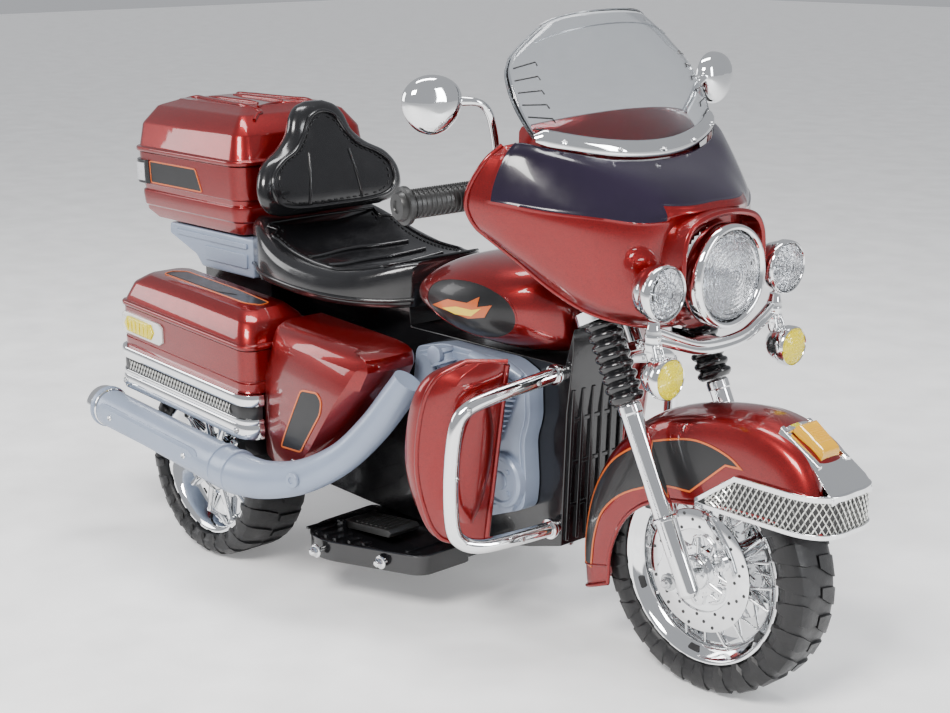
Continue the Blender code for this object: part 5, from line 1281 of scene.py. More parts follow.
def make_front_wheel():
    centre = at(WB, 0, .15)
    wheel = "front_wheel"
    wheel_tyre("front_tyre", "front_tyre", wheel, centre, .1462, .072, .114, 26)

    def rim(bm):
        for sign in (-1, 1):
            out = centre + vec(0, sign, 0)
            add_rev(bm, [(.093, .015), (.096, .0205), (.1, .0235), (.106, .0262), (.108, .0285), (.11, .0305),
                         (.113, .0308), (.1142, .0296), (.1142, .02), (.1, .015), (.096, .0115), (.093, .0115)],
                    centre, out, 128, closed=True)
            add_rev(bm, [(.006, .0455), (.015, .0452), (.02, .044), (.0215, .0415), (.0215, .033), (.006, .033)],
                    centre, out, 64, closed=True)
            add_rev(bm, [(.0215, .0345), (.03, .034), (.031, .0325), (.03, .031), (.0215, .031)], centre, out, 64,
                    closed=True)
            for i in range(6):
                turn = 2 * pi * i / 6
                hub = spin(centre, .016, turn, sign * .0448)
                add_rev(bm, [(0, 0), (.0024, 0), (.0022, .0014), (0, .0018)], hub, (0, sign, 0), 12)
        add_rev(bm, [(.0925, .0118), (.1145, .015), (.1145, -.015), (.0925, -.0118)], centre,
                (0, 1, 0), 128, closed=True)
        add_rev(bm, [(.0057, .034), (.019, .034), (.015, .012), (.015, -.012), (.019, -.034), (.0057, -.034)],
                centre, (0, 1, 0), 48, closed=True)
    one("front_wheel_rim", rim, CHROME, wheel, smooth=50, node="front_rim")

    def slots(bm):
        for sign in (-1, 1):
            for i in range(6):
                rings = []
                for k in range(13):
                    turn = 2 * pi * i / 6 + .36 + (k / 12) * .15
                    reach = 1 if 0 < k < 12 else .45
                    ring = []
                    for dr, h in ((-.003 * reach, .0222), (.0034 * reach, .0258), (.0034 * reach, .0238),
                                  (-.003 * reach, .0202)):
                        r = .1012 + dr
                        ring.append(centre + vec(r * cos(turn), sign * (h + .0012), r * sin(turn)))
                    rings.append(ring)
                add_loft(bm, rings)
    one("front_wheel_slots", slots, SATIN, wheel, smooth=50)

    def spokes(bm):
        for sign in (-1, 1):
            for i in range(20):
                turn = 2 * pi * i / 20
                lean = .42 * (1 if i % 2 else -1)
                a = centre + vec(.026 * cos(turn + lean), sign * .033, .026 * sin(turn + lean))
                b = spin(centre, .0955, turn, sign * .015)
                add_tube(bm, [a, b], .0019, 10, 0)
    one("front_wheel_spokes", spokes, CHROME, wheel)

    def disc(bm):
        for sign in (-1, 1):
            out = centre + vec(0, sign, 0)
            add_rev(bm, [(.049, .0298), (.049, .0312), (.05, .0325), (.073, .0325), (.074, .0318), (.074, .0298)],
                    centre, out, 96, closed=True)
            add_rev(bm, [(.02, .0285), (.02, .03), (.048, .0306), (.05, .0314), (.05, .029)], centre, out,
                    96, closed=True)
            for i in range(3):
                turn = 2 * pi * i / 3 + .5
                boss = spin(centre, .0345, turn, sign * .03)
                add_rev(bm, [(0.0, 0), (.0095, 0), (.009, .0028), (.0065, .0036), (.0045, .0036), (.004, .002),
                             (0, .002)], boss, (0, sign, 0), 28)
                path = [centre + vec((.044 - .0012 * abs(k - 4)) * cos(turn + .45 + .11 * k), sign * .031,
                                         (.044 - .0012 * abs(k - 4)) * sin(turn + .45 + .11 * k)) for k in range(9)]
                add_tube(bm, path, .0022, 10, 2, [.5, 1, 1, 1, 1, 1, 1, 1, .5])
                arm = [centre + vec(.0215 * cos(turn + 1), sign * .032, .0215 * sin(turn + 1)),
                       centre + vec(.04 * cos(turn + 1.1), sign * .0306, .04 * sin(turn + 1.1))]
                add_tube(bm, arm, .0042, 12, 0, [1.1, .8])
            add_rev(bm, [(.02, .03), (.02, .0335), (.027, .033), (.027, .03)], centre, out, 64, closed=True)
    one("front_brake_disc", disc, CHROME, wheel, smooth=50)

    def holes(bm):
        for sign in (-1, 1):
            for i in range(36):
                turn = 2 * pi * i / 36
                r = (.0535, .061, .0685)[i % 3]
                foot = spin(centre, r, turn, sign * .032)
                add_rev(bm, [(0, 0), (.0021, 0), (.0021, .00085), (.0012, .0009), (0, .0006)], foot,
                        (0, sign, 0), 14)
    one("front_brake_disc_holes", holes, SATIN, wheel)


def make_rear_wheels():
    for side, sign in (("right", -1), ("left", 1)):
        centre = at(0, sign * .1585, .133)
        body = "rear_wheel_" + side
        wheel_tyre("rear_tyre_" + side, "rear_tyre_" + side, body, centre, .1292, .0975, .1, 24)

        def rim(bm):
            for face in (-1, 1):
                out = centre + vec(0, face, 0)
                add_rev(bm, [(.054, .012), (.08, .015), (.087, .027), (.091, .034), (.095, .0385), (.0992, .039),
                             (.1, .0372), (.1, .03), (.086, .018), (.08, .007), (.054, .007)],
                        centre, out, 96, closed=True)
                add_rev(bm, [(.0057, .0452), (.015, .045), (.0225, .043), (.0238, .0395), (.024, .029),
                             (.038, .0285),
                             (.04, .0265), (.04, .01), (.0545, .0085), (.0545, .006), (.0057, .006)],
                        centre, out, 64, closed=True)
                for i in range(10):
                    turn = 2 * pi * i / 10
                    a = spin(centre, .036, turn, face * .02)
                    b = spin(centre, .084, turn, face * .018)
                    add_tube(bm, [a, b], .0052, 12, 0, [1.2, .8])
        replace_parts(one("rear_wheel_rim_" + side, rim, CHROME, body, smooth=50), "rear_rim_" + side)

    def axle(bm):
        add_cyl(bm, at(0, -.205, .133), at(0, .205, .133), .0049, sides=24)
        for sign in (-1, 1):
            foot = at(0, sign * .2046, .133)
            out = foot + vec(0, sign, 0)
            add_rev(bm, [(0, 0), (.0085, 0), (.0085, .0052), (.0075, .0058), (0, .0058)], foot, out, 6)
            add_rev(bm, [(0, .005), (.0066, .005), (.006, .0078), (.003, .0098), (0, .01)], foot, out, 20)
    one("rear_axle_rod", axle, STEEL, C, node="rear_axle")


# ---------------------------------------------------------------- tank, frame and engine covers

TANK_STATIONS = [(0.0, .055, .414, .42), (.06, .078, .392, .446), (.2, .094, .378, .464), (.42, .104, .366, .477),
                 (.66, .098, .362, .481), (.86, .074, .364, .478), (.97, .046, .37, .462), (1.0, .034, .376, .446)]


def make_tank():
    rings = []
    for share, half, low, high in TANK_STATIONS:
        x = WB - .452 + .244 * share
        middle = (low + high) / 2
        ring = []
        for i in range(24):
            turn = 2 * pi * i / 24
            c, s = cos(turn), sin(turn)
            y = half * abs(c) ** .85 * (1 if c > 0 else -1)
            z = middle + (high - middle if s > 0 else middle - low) * abs(s) ** .9 * (1 if s > 0 else -1)
            ring.append(at(x, y, max(z, .3608)))
        rings.append(ring)
    rings = dense(rings, 6, 3, closed=True)
    for ring in rings:
        for p in ring:
            p.z = max(p.z, .3608)

    def build(bm):
        add_loft(bm, rings)
    body = one("tank_shell", build, RED, C, smooth=60, node="tank_cover")
    tree = tree_of(body)

    def decals(bm):
        x0 = REAR_X + WB
        egg = [(x0 - .402, .42), (x0 - .395, .436), (x0 - .372, .447), (x0 - .335, .452), (x0 - .298, .45),
               (x0 - .268, .439), (x0 - .254, .42), (x0 - .258, .4), (x0 - .28, .386), (x0 - .312, .38),
               (x0 - .35, .383), (x0 - .383, .395), (x0 - .398, .408)]
        egg = [(p.x, p.y) for p in catmull([(a, b, 0) for a, b in egg], 3, True)]
        bordered(bm, egg, (0, -.25, 0), SIDE, tree, .0016, .005)
        sweep = [(x0 - .388, .4125), (x0 - .352, .426), (x0 - .318, .4265), (x0 - .3, .436), (x0 - .302, .4235),
                 (x0 - .282, .428), (x0 - .292, .412), (x0 - .318, .407), (x0 - .35, .411)]
        add_patch(bm, sweep, (0, -.25, 0), SIDE, tree, .0014, .005, 2, .0004)
        flash = [(x0 - .364, .4135), (x0 - .336, .4195), (x0 - .31, .419), (x0 - .296, .4225), (x0 - .312, .411),
                 (x0 - .34, .4095)]
        add_patch(bm, flash, (0, -.25, 0), SIDE, tree, .0018, .005, 3, .0004)
    both("tank_decal", decals, [DECAL, RED, ORANGE, YELLOW], C)

    def cap(bm):
        foot = at(WB - .33, 0, .4775)
        add_rev(bm, [(0, -.002), (.0235, -.002), (.024, .001), (.0225, .0026), (.019, .003), (.0185, .002),
                     (.006, .0018), (.0055, .003), (0, .0034)], foot, (.02, 0, 1), 48)
    one("tank_filler_ring", cap, RED, C)


def make_frame():
    nose = WB - .196

    def build(bm):
        outline = [(-.15, .386), (-.165, .33), (-.09, .2), (-.045, .098), (.19, .0905), (nose - .165, .0905),
                   (nose - .065, .112), (nose - .008, .128), (nose, .3), (nose + .01, .375), (nose + .01, .408),
                   (nose - .004, .36), (nose - .29, .36), (nose - .292, .386)]
        add_plate(bm, shifted(outline), -.0518, .0518)
        add_cyl(bm, STEER @ vec(0, 0, .3152), STEER @ vec(0, 0, .3702), .024, sides=48, chamfer=.002)
        neck = [STEER @ Vector(p) for p in ((-.03, 0, .3182), (0, 0, .3182), (0, 0, .3642), (-.02, 0, .3642))]
        outline = [(nose - .003 + REAR_X, .352)] + [(p.x, p.z) for p in neck] + [(nose - .003 + REAR_X, .405)]
        add_plate(bm, outline, -.012, .012)
        add_box(bm, (-.145 + REAR_X, -.088, .29), (.02 + REAR_X, .088, .3862))
        add_cyl(bm, at(0, -.1065, .133), at(0, 0.0, .133), .016, sides=40)
    one("frame_moulding", build, BLACK, C, bevel=.004, segments=3, node="main_frame")

    def ribs(bm):
        for y in (-.044, -.0265, -.009, .009, .0265, .044):
            x = nose + REAR_X
            points = [(x - .01, .136), (x - .0045, .134), (x + .0036, .298), (x + .006, .33), (x - .002, .33)]
            add_plate(bm, points, y - .0028, y + .0028)
        for z in (.18, .235, .29):
            x = nose + REAR_X - .008 + (z - .128) / .172 * .008
            add_box(bm, (x - .004, -.047, z - .0028), (x + .0018, .047, z + .0028))
    one("frame_ribs", ribs, BLACK, C, bevel=.0012)

    def rails(bm):
        for z in (.112, .352):
            x = nose + REAR_X - (.014 if z < .2 else -.003)
            for y in (-.03, .03):
                add_rev(bm, [(0, 0), (.0052, 0), (.0052, .0022), (.0042, .003), (.002, .003), (.002, .0015),
                             (0, .0015)],
                        vec(x, y, z + .016), vec(x + 1, y, z + .016), 20)
    one("frame_bolts", rails, STEEL, C)


def make_engine():
    nose = WB - .24

    def cover(bm):
        outline = [(nose - .205, .345), (nose - .214, .27), (nose - .222, .218), (nose - .2, .165),
                   (nose - .155, .138),
                   (nose - .105, .134), (nose - .06, .15), (nose - .004, .172), (nose, .205), (nose - .004, .26),
                   (nose + .006, .29), (nose + .004, .345), (nose - .03, .3585), (nose - .15, .3585)]
        outline = round_outline(shifted(outline), .01, 3)
        add_plate(bm, outline, -.078, -.0526)
        rim = inset(outline, .006)
        add_plate(bm, rim, -.08, -.077)
    both("engine_cover_shell", cover, GREY, C, node="engine_cover", bevel=.0022)

    def cylinders(bm):
        for foot, top in (((nose - .116, .27), (nose - .15, .352)), ((nose - .066, .255), (nose - .028, .34))):
            a, b = at(foot[0], -.0775, foot[1]), at(top[0], -.0775, top[1])
            length = (b - a).length
            profile = [(0, 0), (.016, 0)]
            for i in range(9):
                z = .006 + i * .0078
                profile += [(.016, z), (.0228, z + .0006), (.0228, z + .0036), (.016, z + .0044)]
            profile += [(.016, length - .008), (.0185, length - .006), (.0185, length - .001), (.016, length),
                        (0, length)]
            add_rev(bm, profile, a, b, 40)
            top_centre = a.lerp(b, .93)
            add_rev(bm, [(0, 0), (.0125, 0), (.0125, .0065), (.0105, .0075), (0, .0075)],
                    top_centre + vec(0, -.014, 0), top_centre + vec(0, -.3, 0), 28)
        for k in range(5):
            z = .262 + k * .014
            add_box(bm, (nose - .094 + REAR_X, -.083, z), (nose - .082 + REAR_X, -.078, z + .005))
        add_tube(bm, [at(nose - .092, -.08, .352), at(nose - .06, -.085, .35), at(nose - .034, -.085, .352),
                      at(nose - .006, -.079, .34)], .0085, 16, 5, [1, 1.15, 1.1, .9])
    both("engine_cylinders", cylinders, GREY, C, smooth=40, bevel=.0006)

    def cases(bm):
        clutch = at(nose - .142, -.0775, .215)
        out = clutch + vec(0, -1, 0)
        add_rev(bm, [(0, 0), (.066, 0), (.066, .01), (.064, .015), (.0615, .017), (.0555, .0175), (.054, .016),
                     (.053, .0125), (.044, .0125), (.043, .016), (.042, .018), (.039, .0185), (.0375, .017),
                     (.0365, .014), (0, .014)], clutch, out, 80)
        for i in range(8):
            turn = 2 * pi * i / 8 + .2
            foot = spin(clutch, .0485, turn, -.012)
            add_rev(bm, [(0, 0), (.0058, 0), (.0058, .0052), (.0048, .006), (0, .006)], foot,
                    (0, -1, 0), 6)
        timing = at(nose - .036, -.0775, .205)
        add_rev(bm, [(0, 0), (.036, 0), (.035, .009), (.032, .012), (.0285, .0125), (.027, .0112), (.026, .01),
                     (.012, .0105), (.011, .0125), (.009, .013), (0, .013)], timing, (0, -1, 0), 64)
        for i in range(4):
            turn = 2 * pi * i / 4 + .78
            foot = spin(timing, .0195, turn, -.0098)
            add_rev(bm, [(0, 0), (.0032, 0), (.003, .0022), (0, .0028)], foot, (0, -1, 0), 16)
        bridge = [(nose - .095, .188), (nose - .06, .18), (nose - .06, .228), (nose - .095, .244)]
        add_plate(bm, round_outline(shifted(bridge), .006), -.0855, -.077)
        low = [(nose - .12, .14), (nose - .02, .166), (nose - .014, .178), (nose - .116, .152)]
        add_plate(bm, round_outline(shifted(low), .004), -.0835, -.077)
        high = [(nose - .196, .3), (nose - .16, .286), (nose - .156, .338), (nose - .19, .34)]
        add_plate(bm, round_outline(shifted(high), .008), -.087, -.077)
    both("engine_cases", cases, GREY, C, smooth=35, bevel=.001)

    def hub(bm):
        clutch = at(nose - .142, -.0905, .215)
        add_rev(bm, [(0, 0), (.0365, 0), (.0365, .002), (.034, .003), (.024, .003), (.0225, .005), (.012, .0056),
                     (.01, .0042), (0, .0042)], clutch, (0, -1, 0), 64)
    both("engine_clutch_hub", hub, SATIN, C, smooth=50)

    def screws(bm):
        for x, z in ((nose - .19, .175), (nose - .11, .14), (nose - .012, .19), (nose - .008, .33),
                     (nose - .2, .26),
                     (nose - .145, .35)):
            add_screw(bm, at(x, -.0805, z), (0, -1, 0), .0042)
    both("engine_screws", screws, STEEL, C)


def make_leg_shields():
    heights = [(.128, .3, .02), (.14, .62, .026), (.18, .84, .034), (.24, 1, .04), (.31, 1, .04),
               (.35, .86, .034), (.37, .5, .026)]
    fine = catmull(heights, 5)

    def section(z, share, deep):
        x0 = WB - .254 + (z - .25) * .16
        y0, y1 = -.112, -.112 - .082 * share
        front = [(x0, y0), (x0 - .003, y0 * .75 + y1 * .25), (x0 - .012, (y0 + y1) / 2),
                 (x0 - .022 * share - .006, y0 * .22 + y1 * .78), (x0 - .036 * share - .01, y1 + .008),
                 (x0 - .05 * share - .01, y1 + .0015), (x0 - .06 * share - .01, y1)]
        back = [(x0 - .06 * share - deep * .55, y1 + .004), (x0 - .04 * share - deep * .6, y1 + .014),
                (x0 - deep * .75, (y0 + y1) / 2), (x0 - deep * .6, y0)]
        return [at(x, y, z) for x, y in front + back]

    def build(bm):
        add_loft(bm, [section(*h) for h in fine])
    both("leg_shield_shell", build, RED, C, smooth=45, bevel=.0015, node="leg_shield")

    def edge(bm):
        inner = [section(*h)[0] + vec(.0008, -.0025, 0) for h in fine]
        outer = [section(*h)[5] + vec(.0012, .002, 0) for h in fine]
        loop = inner + list(reversed(outer))
        add_tube(bm, loop + [loop[0]], .0034, 12, 0)
        drop = []
        for z, wide in ((.165, .1), (.185, .26), (.215, .36), (.25, .4), (.285, .36), (.315, .22), (.332, .08)):
            x0 = WB - .254 + (z - .25) * .16
            drop.append((x0 - .0085, -.146, z, wide * .082 * .75))
        rings = []
        for x, y, z, wide in catmull4(drop, 4):
            turns = [2 * pi * k / 20 for k in range(20)]
            rings.append([at(x + .011 * cos(t), y + wide * sin(t), z) + vec(.28 * wide * sin(t), 0, 0) for t in turns])
        add_loft(bm, rings)
    both("leg_shield_edge", edge, RED, C, smooth=60)

    start = WB - .206
    path = [(start, -.0526, .35), (start, -.062, .35), (start - .006, -.092, .345), (start - .02, -.15, .334),
            (start - .03, -.18, .322), (start - .035, -.192, .3), (start - .04, -.196, .24),
            (start - .04, -.194, .18), (start - .036, -.184, .158), (start - .026, -.16, .149),
            (start - .014, -.11, .15), (start - .006, -.062, .152), (start - .006, -.0526, .152)]

    def bar(bm):
        add_tube(bm, [at(*p) for p in path], .0093, 26, 6)
        for index in (1, 11):
            p = at(*path[index])
            add_rev(bm, [(.0093, 0), (.0125, 0), (.013, .001), (.013, .005), (.0125, .006), (.0093, .006)],
                    p + vec(0, .002, 0), p + vec(0, -1, 0), 32)
    both("crash_bar_tube", bar, CHROME, C, smooth=60, node="crash_bar")

    def screws(bm):
        for index, axis in ((2, (1, 0, 0)), (4, (1, -.3, .2)), (6, (1, .2, 0)), (8, (1, .2, 0)), (10, (1, 0, 0))):
            p = at(*path[index])
            direction = Vector(axis).normalized()
            add_rev(bm, [(0, 0), (.0034, 0), (.0034, .0012), (.0024, .0018), (0, .0012)], p + direction * .0088,
                    p + direction, 16)
    both("crash_bar_screws", screws, STEEL, C)


def catmull4(points, steps):
    """catmull() for points of four numbers."""
    first = catmull([p[:3] for p in points], steps)
    last = catmull([(p[3], 0, 0) for p in points], steps)
    return [(a.x, a.y, a.z, b.x) for a, b in zip(first, last)]


# ---------------------------------------------------------------- footboards, pedal and exhausts

def make_boards():
    front = WB - .368

    def outline(grow=0.0):
        rear = front - .205
        left = [(rear - grow, .05), (rear + .006 - grow, .15 + grow), (rear + .02, .18 + grow),
                (rear + .05, .192 + grow),
                (rear + .075, .19 + grow), (front - .01 + grow, .142 + grow), (front + grow, .128),
                (front + grow, .05)]
        left = round_outline(left, .012, 3)
        ring = left + [(x, -y) for x, y in reversed(left)]
        return shifted(ring)

    def board(bm):
        add_plate(bm, outline(-.0015), .062, .086, "XY")
        rings = [[vec(x, y, z) for x, y in outline(grow)] for grow, z in
                 ((0.0, .0852), (0.0, .0885), (-.0012, .0897), (-.005, .0897), (-.0062, .088))]
        add_loft(bm, rings)
        for sign in (-1, 1):
            for i in range(9):
                x = front - .19 + .02 * i + REAR_X
                edge = .19 if x - REAR_X < front - .125 else .142 + .048 * (front - .01 - (x - REAR_X)) / .12
                low = .058 if sign > 0 or not front - .16 < x - REAR_X < front - .04 else .148
                if edge - .012 > low + .01:
                    add_box(bm, (x - .0028, min(sign * low, sign * (edge - .012)), .0875),
                            (x + .0028, max(sign * low, sign * (edge - .012)), .0905))
        for sign in (-1, 1):
            y = -.118 + sign * .031
            x = front - .15 + REAR_X
            add_box(bm, (x - .006, y - .004, .0865), (x + .006, y + .004, .1035))
        x = front - .15 + REAR_X
        add_cyl(bm, vec(x, -.15, .0975), vec(x, -.086, .0975), .0024, sides=20)
    one("footboard_moulding", board, BLACK, C, bevel=.0012, node="footboards")

    def pad(bm):
        x, z = front - .15 + REAR_X, .0975
        outline = [(-.005, -.005), (.008, -.0048), (.09, .0035), (.094, .01), (.088, .014), (.01, .0055),
                   (0.0, .0058),
                   (-.005, .004)]
        add_plate(bm, [(x + a, z + b) for a, b in outline], -.1436, -.0924)
        for i in range(7):
            share = (i + 1) / 8
            a = x + .01 + .078 * share
            b = z + .0055 + .0085 * share
            add_box(bm, (a - .0022, -.14, b - .001), (a + .0022, -.096, b + .0018))
    one("pedal_pad", pad, RUBBER, "accelerator_pedal", bevel=.0012, node="accelerator_pedal")

    def bolts(bm, x, half):
        add_cyl(bm, at(x, -half - .003, .0755), at(x, half + .003, .0755), .0034, sides=20)
        for sign in (-1, 1):
            foot = at(x, sign * half, .0755)
            out = foot + vec(0, sign, 0)
            add_rev(bm, [(0, 0), (.009, 0), (.009, .0014), (.008, .002), (0, .002)], foot, out, 32)
            add_rev(bm, [(0, .0015), (.0062, .0015), (.0062, .0056), (.0052, .0064), (0, .0064)], foot, out, 6)
            add_rev(bm, [(0, .0055), (.005, .0055), (.0047, .008), (.003, .0097), (0, .0102)], foot, out, 20)
    for name, x in (("footboard_bolt_rear", front - .142), ("footboard_bolt_front", front - .052)):
        half = .142 + .048 * (front - .01 - x) / .12 + .005
        bm = bmesh.new()
        bolts(bm, x, half)
        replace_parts(piece(name + "_nuts", bm, CHROME, C, smooth=35), name)


def make_exhausts():
    y = -.245

    def slope(p):
        return at(p[0], p[1], p[2] - .055 * p[0])

    def pipe(bm):
        points = [(-.19, y, .182), (-.06, y, .18), (.12, y, .176), (.165, y, .177), (.215, y + .006, .184),
                  (.265, y + .026, .2), (.31, y + .052, .232), (.345, y + .074, .275), (.372, y + .09, .318),
                  (.388, y + .098, .345)]
        radii = [1, 1, 1.08, 1.04, .93, .84, .778, .778, .778, .735]
        add_tube(bm, [slope(p) for p in points], .0268, 40, 6, radii)
    both("exhaust_pipe", pipe, GREY, C, smooth=60, node="exhaust")

    def extras(bm):
        for x, thick in ((.15, .0014), (.118, .0012), (-.176, .0014)):
            centre = slope((x, y, .1775 if x > 0 else .182))
            add_rev(bm, [(.027, -.004), (.0288 + thick, -.003), (.0288 + thick, .003), (.027, .004)],
                    centre, (1, 0, -.055), 48, closed=True)
        outline = [(-.158, .193), (-.15, .199), (.08, .196), (.092, .19), (.088, .17), (.078, .165), (-.15, .166),
                   (-.158, .171)]
        rings = []
        for depth, grow in ((-.2685, 0.0), (-.2716, 0.0), (-.2722, -.0012)):
            rings.append([slope((a, depth, b + (grow if b > .18 else -grow))) for a, b in outline])
        add_loft(bm, rings)
        a = slope((.268, y + .004, .2))
        add_rev(bm, [(0, 0), (.0105, 0), (.01, .0035), (.0085, .0045), (.0045, .0045), (.0045, .0025), (0, .0025)],
                a, (.15, -1, .05), 32)
    both("exhaust_panel", extras, GREY, C, smooth=40, bevel=.0008)

    def inlay(bm):
        outline = [(-.15, .1905), (-.145, .1935), (.074, .1915), (.083, .187), (.08, .173), (.074, .1695),
                   (-.145, .1705), (-.15, .1735)]
        add_loft(bm, [[slope((a, depth, b)) for a, b in outline] for depth in (-.2712, -.2729)])
    both("exhaust_inlay", inlay, GREY, C, bevel=.0006)

    def tips(bm):
        foot = slope((-.168, y, .182))
        add_rev(bm, [(.0272, 0), (.0284, .001), (.0284, .022), (.0272, .0268), (.024, .027), (.0225, .0255),
                     (.0215, .01), (0, .01), (0, .006), (.022, .006)], foot, (-1, 0, .055), 56)
        for x, z in ((-.128, .182), (.062, .1805)):
            add_screw(bm, slope((x, -.2728, z)), (0, -1, 0), .0042)
    both("exhaust_tip", tips, CHROME, C, smooth=45)


# ---------------------------------------------------------------- seat, backrest, rack and top box

SEAT_STATIONS = [(.003, .104, .47, .478, .402), (.02, .112, .468, .476, .402), (.05, .126, .452, .462, .398),
                 (.095, .134, .428, .446, .396), (.145, .134, .417, .436, .392), (.195, .128, .418, .432, .39),
                 (.24, .112, .428, .436, .3885), (.276, .086, .442, .444, .388), (.3, .06, .45, .448, .39)]


def seat_half(x):
    """Half the width of the dished part of the seat."""
    return max(.052, .112 - max(0, x - .2) * .55) if x > .05 else .094


def make_seat():
    halves = []
    for x, half, dish, rim_top, skirt in SEAT_STATIONS:
        side = [(0, dish), (half * .35, dish + (rim_top - dish) * .1), (half * .66, dish + (rim_top - dish) * .55),
                (half * .84, rim_top), (half * .95, rim_top - .006), (half, rim_top - .018), (half, skirt + .006),
                (half * .97, skirt), (half * .9, skirt), (half * .62, .3885)]
        ring = [at(x, y, z) for y, z in side] + [at(x, -y, z) for y, z in reversed(side[1:])]
        halves.append(ring)
    fine = dense(halves, 6, 3, closed=True)
    for ring in fine:
        for p in ring:
            p.z = max(p.z, .3881)

    def build(bm):
        add_loft(bm, fine)
    body = one("seat_moulding", build, BLACK, C, smooth=50, node="seat")
    tree = tree_of(body)

    def drop(x, y, lift):
        hit, normal, _, _ = tree.ray_cast(at(x, y, .6), vec(0, 0, -1))
        return hit + normal * lift if hit is not None else None

    def relief(bm):
        for x in (.09, .128, .166, .204):
            path = [drop(x + .03 * (y / .1) ** 2, y, .0008) for y in [-.088 + .011 * i for i in range(17)]]
            add_tube(bm, [p for p in path if p], .0036, 12, 2, None)
        loop = []
        for sign in (1, -1):
            xs = [.03 + .0135 * i for i in range(19)]
            run = [drop(x, sign * seat_half(x) * .98, .001) for x in (xs if sign > 0 else list(reversed(xs)))]
            loop += [p for p in run if p]
        add_tube(bm, loop + [loop[0]], .0022, 10, 2)
    one("seat_ribs", relief, BLACK, C, smooth=60)

    def seam(bm):
        for sign in (-1, 1):
            path = [drop(.03 + .002 * i, sign * (seat_half(.03 + .002 * i) * .98 - .0075),
                         .0009) for i in range(122)]
            add_stitches(bm, [p for p in path if p], (0, 0, .0003))
    one("seat_stitches", seam, SATIN, C)

    def hem(bm):
        for sign in (1, -1):
            path = [vec(ring[6].x, sign * (abs(ring[6].y) + .0006), ring[6].z + .004) for ring in halves]
            add_tube(bm, path, .0028, 12, 5)
        slot = at(.268, -.0885, .4205)
        add_rev(bm, [(0, -.001), (.0048, -.001), (.0048, .0012), (.0036, .0018), (.0032, .0006), (0, .0006)], slot,
                (.55, -1, .1), 24)
    one("seat_hem", hem, BLACK, C, smooth=60)


def make_backrest():
    levels = [(.482, .09, .02), (.49, .112, .04), (.508, .124, .05), (.534, .122, .05), (.556, .106, .046),
              (.572, .076, .042), (.59, .056, .038), (.612, .046, .034), (.626, .034, .024), (.633, .016, .01)]
    rings = []
    for z, half, deep in levels:
        lean = .04 - (z - .482) * .18
        ring = []
        for i in range(32):
            turn = 2 * pi * i / 32
            c, s = cos(turn), sin(turn)
            y = half * abs(c) ** .8 * (1 if c > 0 else -1)
            ring.append(at(lean + .016 * (y / .124) ** 2 + deep / 2 * abs(s) ** .8 * (1 if s > 0 else -1), y, z))
        rings.append(ring)
    fine = columns([catmull(column, 5) for column in zip(*rings)])

    def build(bm):
        add_loft(bm, fine)
    body = one("backrest_moulding", build, BLACK, C, smooth=60, node="backrest")
    tree = tree_of(body)

    def front(y, z, lift):
        hit, normal, _, _ = tree.ray_cast(at(.25, y, z), vec(-1, 0, 0))
        return hit + normal * lift if hit is not None else None
    outline = [(0, .62), (.022, .612), (.038, .588), (.056, .57), (.082, .558), (.102, .542), (.108, .522),
               (.1, .503), (.07, .494), (0, .492)]
    loop = outline + [(-y, z) for y, z in reversed(outline[1:-1])]
    loop = [(p.x, p.y) for p in catmull([(a, b, 0) for a, b in loop], 6, True)]

    def piping(bm):
        path = [front(y, z, .001) for y, z in loop]
        path = [p for p in path if p]
        add_tube(bm, path + [path[0]], .003, 12, 0)
        for y0 in (-.047, .047):
            path = [front(y0 * (1 - .25 * k / 8), .497 + .0085 * k, .0002) for k in range(9)]
            add_tube(bm, [p for p in path if p], .0024, 10, 2)
    one("backrest_piping", piping, BLACK, C, smooth=60)

    def seam(bm):
        path = [front(y * .9, .552 + (z - .552) * .9, .001) for y, z in loop]
        add_stitches(bm, [p for p in path if p], (0, 0, 0))
    one("backrest_stitches", seam, SATIN, C)


def box_ring(grow, z, front=-.003, rear=-.285, half=.122, corner=.03, steps=10):
    """The top box's outline at one height."""
    corner = corner + max(grow, -corner * .7)
    half_x, half_y = (front - rear) / 2 + grow, half + grow
    middle = (front + rear) / 2
    ring = []
    for quarter in range(4):
        sx = 1 if quarter in (0, 3) else -1
        sy = 1 if quarter in (0, 1) else -1
        for step in range(steps + 1):
            turn = (quarter + step / steps) * pi / 2
            ring.append(at(middle + sx * (half_x - corner) + corner * cos(turn),
                           sy * (half_y - corner) + corner * sin(turn), z))
    return ring


